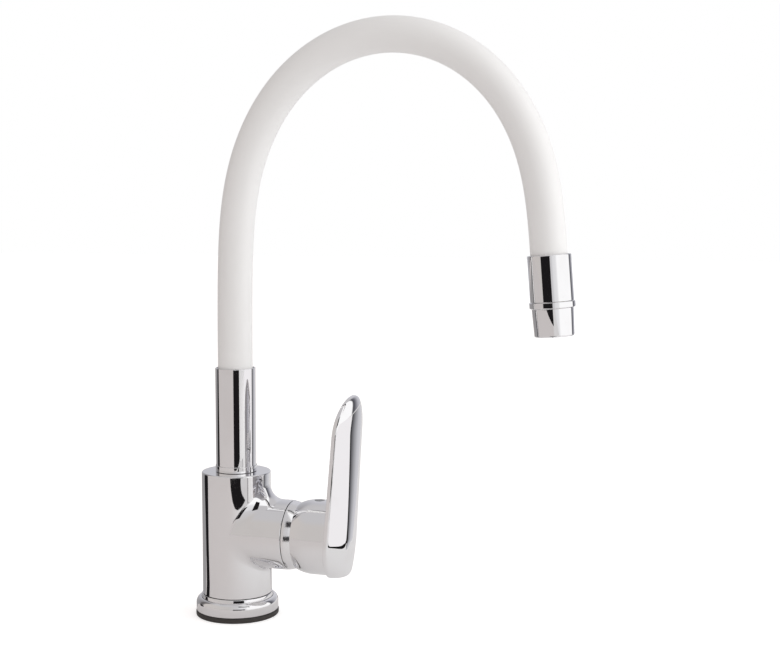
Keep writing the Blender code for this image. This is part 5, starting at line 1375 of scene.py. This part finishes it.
def paper(name, rows, material, lift=CARD_LIFT):
    """Paper on the floor, from rows of (left degrees, metres, right degrees, metres)."""
    left, near, right, far = np.radians(rows[:, 0]), rows[:, 1], np.radians(rows[:, 2]), rows[:, 3]
    across = np.stack([near * np.sin(left), far * np.sin(right)], axis=1)
    toward = np.stack([near * np.cos(left), far * np.cos(right)], axis=1)
    studio_sheet(name, studio_point(across, toward, lift), material)


def standing_card(name, left, right, toward, low, high):
    """A black card that stands square to the camera's direction."""
    across = np.array([[left, right], [left, right]])
    rise = np.array([[low], [high]])
    studio_sheet(name, studio_point(across, toward, rise), BLACK)


paper("front_hook", HOOK, BLACK)
standing_card("front_card", **FRONT_CARD)
standing_card("head_card", **HEAD_CARD)
paper("left_wedge", WEDGE, BLACK)
paper("left_shade", LEFT_SHADE, GREY, SHADE_LIFT)
# A painted shadow of the tap on the floor behind it.
paper("back_painted_shadow", BACK_PAINTED_SHADOW, GREY, SHADE_LIFT)
paper("front_shade", FRONT_SHADE, PALE_GREY, SHADE_LIFT)
paper("front_line", FRONT_LINE, GREY, SHADE_LIFT)
strip_grid = np.stack(np.broadcast_arrays(STRIP_ENDS, STRIP_SIDES, STRIP_HEIGHT), axis=-1)
studio_sheet("top_strip", strip_grid, BLACK)
print("hook of paper:", len(HOOK), "rows")

# %% [markdown]
# On the right lies a white board, which fills the lever's face and the right
# side of each upright cylinder. Its edge is dark, and behind its corner a
# shadow fades like a fan.

# %% White board
BOARD_CORNER = np.array([0.197, -0.010])
BOARD_LINE = 115.0            # direction of the board's far edge
BOARD_ROUND = 0.055
BOARD_EDGE = 0.014
BOARD_DEPTH = 1.8
BOARD_NEAR = 0.14             # how far its edge runs from the corner towards
BOARD_FAR = 1.6               # the camera, and away to the right
BOARD_CLOSE = 0.02            # within this of the corner its points lie close
FAN_SPREAD = 50.0             # degrees


def board_outline(steps=41):
    """The board's near edge, round its corner, and out along its far edge.

    A hyperbola does that: with t running from one arm to the other, the
    distances along the two arms are (root of t * t + round * round) -+ t,
    halved.
    """
    ends = np.arcsinh(np.array([-BOARD_NEAR, BOARD_FAR]) / BOARD_CLOSE)
    t = BOARD_CLOSE * np.sinh(np.linspace(*ends, steps))
    reach = np.sqrt(t ** 2 + BOARD_ROUND ** 2)
    far, near = (reach + t) / 2, (reach - t) / 2
    line = math.radians(BOARD_LINE)
    return BOARD_CORNER[0] + far * math.sin(line), BOARD_CORNER[1] + far * math.cos(line) + near


def board_strip(name, inwards, outwards, height, material):
    """A strip along the board's outline, from one distance to another."""
    middle = math.radians(BOARD_LINE / 2)
    right, toward = board_outline()
    shift = np.array([inwards, outwards])[:, None] / math.sin(middle)
    right, toward = right + shift * math.sin(middle), toward + shift * math.cos(middle)
    studio_sheet(name, studio_point(right, toward, height), material)


board_strip("white_board", 0.0, BOARD_DEPTH, CARD_LIFT, BRIGHT)
board_strip("board_edge", -BOARD_EDGE, 0.0, 2 * CARD_LIFT, BLACK)


def fan_material():
    """Dark beside the board's edge and pale at the fan's other side."""
    made, tree, surface = studio_material("fan_shadow")
    place = wire(tree, "ShaderNodeUVMap", {}, uv_map="place").outputs["UV"]
    across = wire(tree, "ShaderNodeSeparateXYZ", {0: place}).outputs["X"]
    shade = ramp(tree, across, [(0.0, (0.05, 0.05, 0.055)), (0.1, (0.14, 0.14, 0.15)),
                                (0.3, (0.34, 0.34, 0.36)), (0.6, (0.58, 0.58, 0.61)),
                                (1.0, (0.70, 0.70, 0.73))])
    glow_out(tree, surface, shade)
    return made


fan_share = np.linspace(0.0, 1.0, 10)
fan_turn = np.radians(BOARD_LINE + FAN_SPREAD * fan_share)
fan_radius = np.array([0.0, BOARD_FAR])[:, None]
fan_uv = np.stack(np.broadcast_arrays(fan_share, fan_radius), axis=-1)
fan_right = BOARD_CORNER[0] + fan_radius * np.sin(fan_turn)
fan_toward = BOARD_CORNER[1] + fan_radius * np.cos(fan_turn)
studio_sheet("board_shadow", studio_point(fan_right, fan_toward, CARD_LIFT), fan_material(), uv=fan_uv)

# %% [markdown]
# The light itself is plain and soft. The world lights everything from all
# sides, more from the right, and one large lamp on the right shapes it.

# %% World and lamp
WORLD_LEFT = (0.60, 0.575, 0.565)
WORLD_RIGHT = (0.92, 0.92, 0.92)
WORLD_TURNS = (-0.8, 0.8)     # sine to the right where one becomes the other
LAMP_PLACE = studio_point(1.1, 0.35, 0.65)
LAMP_AIM = np.array([0.08, 0.0, 0.2])
LAMP_SIDE = 0.9
LAMP_POWER = 3.3


def make_world():
    """White where it is looked at or mirrored; graded as a light."""
    world = bpy.data.worlds.new("studio")
    bpy.context.scene.world = world
    world.use_nodes = True
    tree = world.node_tree
    tree.nodes.clear()
    right = part_along(tree, place_of(tree, "Generated"), TO_RIGHT)
    room = mixed(tree, spread(tree, right, WORLD_TURNS, kind="SMOOTHSTEP"), WORLD_LEFT, WORLD_RIGHT)
    ray = wire(tree, "ShaderNodeLightPath", {}).outputs
    seen = maths(tree, "MAXIMUM", ray["Is Camera Ray"], ray["Is Glossy Ray"])
    seen = maths(tree, "MAXIMUM", seen, ray["Is Transmission Ray"])
    light = wire(tree, "ShaderNodeBackground", {"Color": room, "Strength": 1.0})
    white = wire(tree, "ShaderNodeBackground", {"Color": (1.0, 1.0, 1.0, 1.0), "Strength": 1.0})
    mix = wire(tree, "ShaderNodeMixShader",
               {0: seen, 1: light.outputs["Background"], 2: white.outputs["Background"]})
    out = tree.nodes.new("ShaderNodeOutputWorld")
    tree.links.new(mix.outputs["Shader"], out.inputs["Surface"])


make_world()
lamp = bpy.data.lights.new("soft_lamp", "AREA")
lamp.shape, lamp.size, lamp.energy = "SQUARE", LAMP_SIDE, LAMP_POWER
lamp_object = placed("soft_lamp", lamp)
lamp_object.location = LAMP_PLACE
lamp_object.rotation_euler = Vector(LAMP_AIM - LAMP_PLACE).to_track_quat("-Z", "Y").to_euler()
lamp_object.visible_glossy = False
bpy.context.scene.view_settings.view_transform = "Standard"
print("lamp at", LAMP_PLACE.round(2))
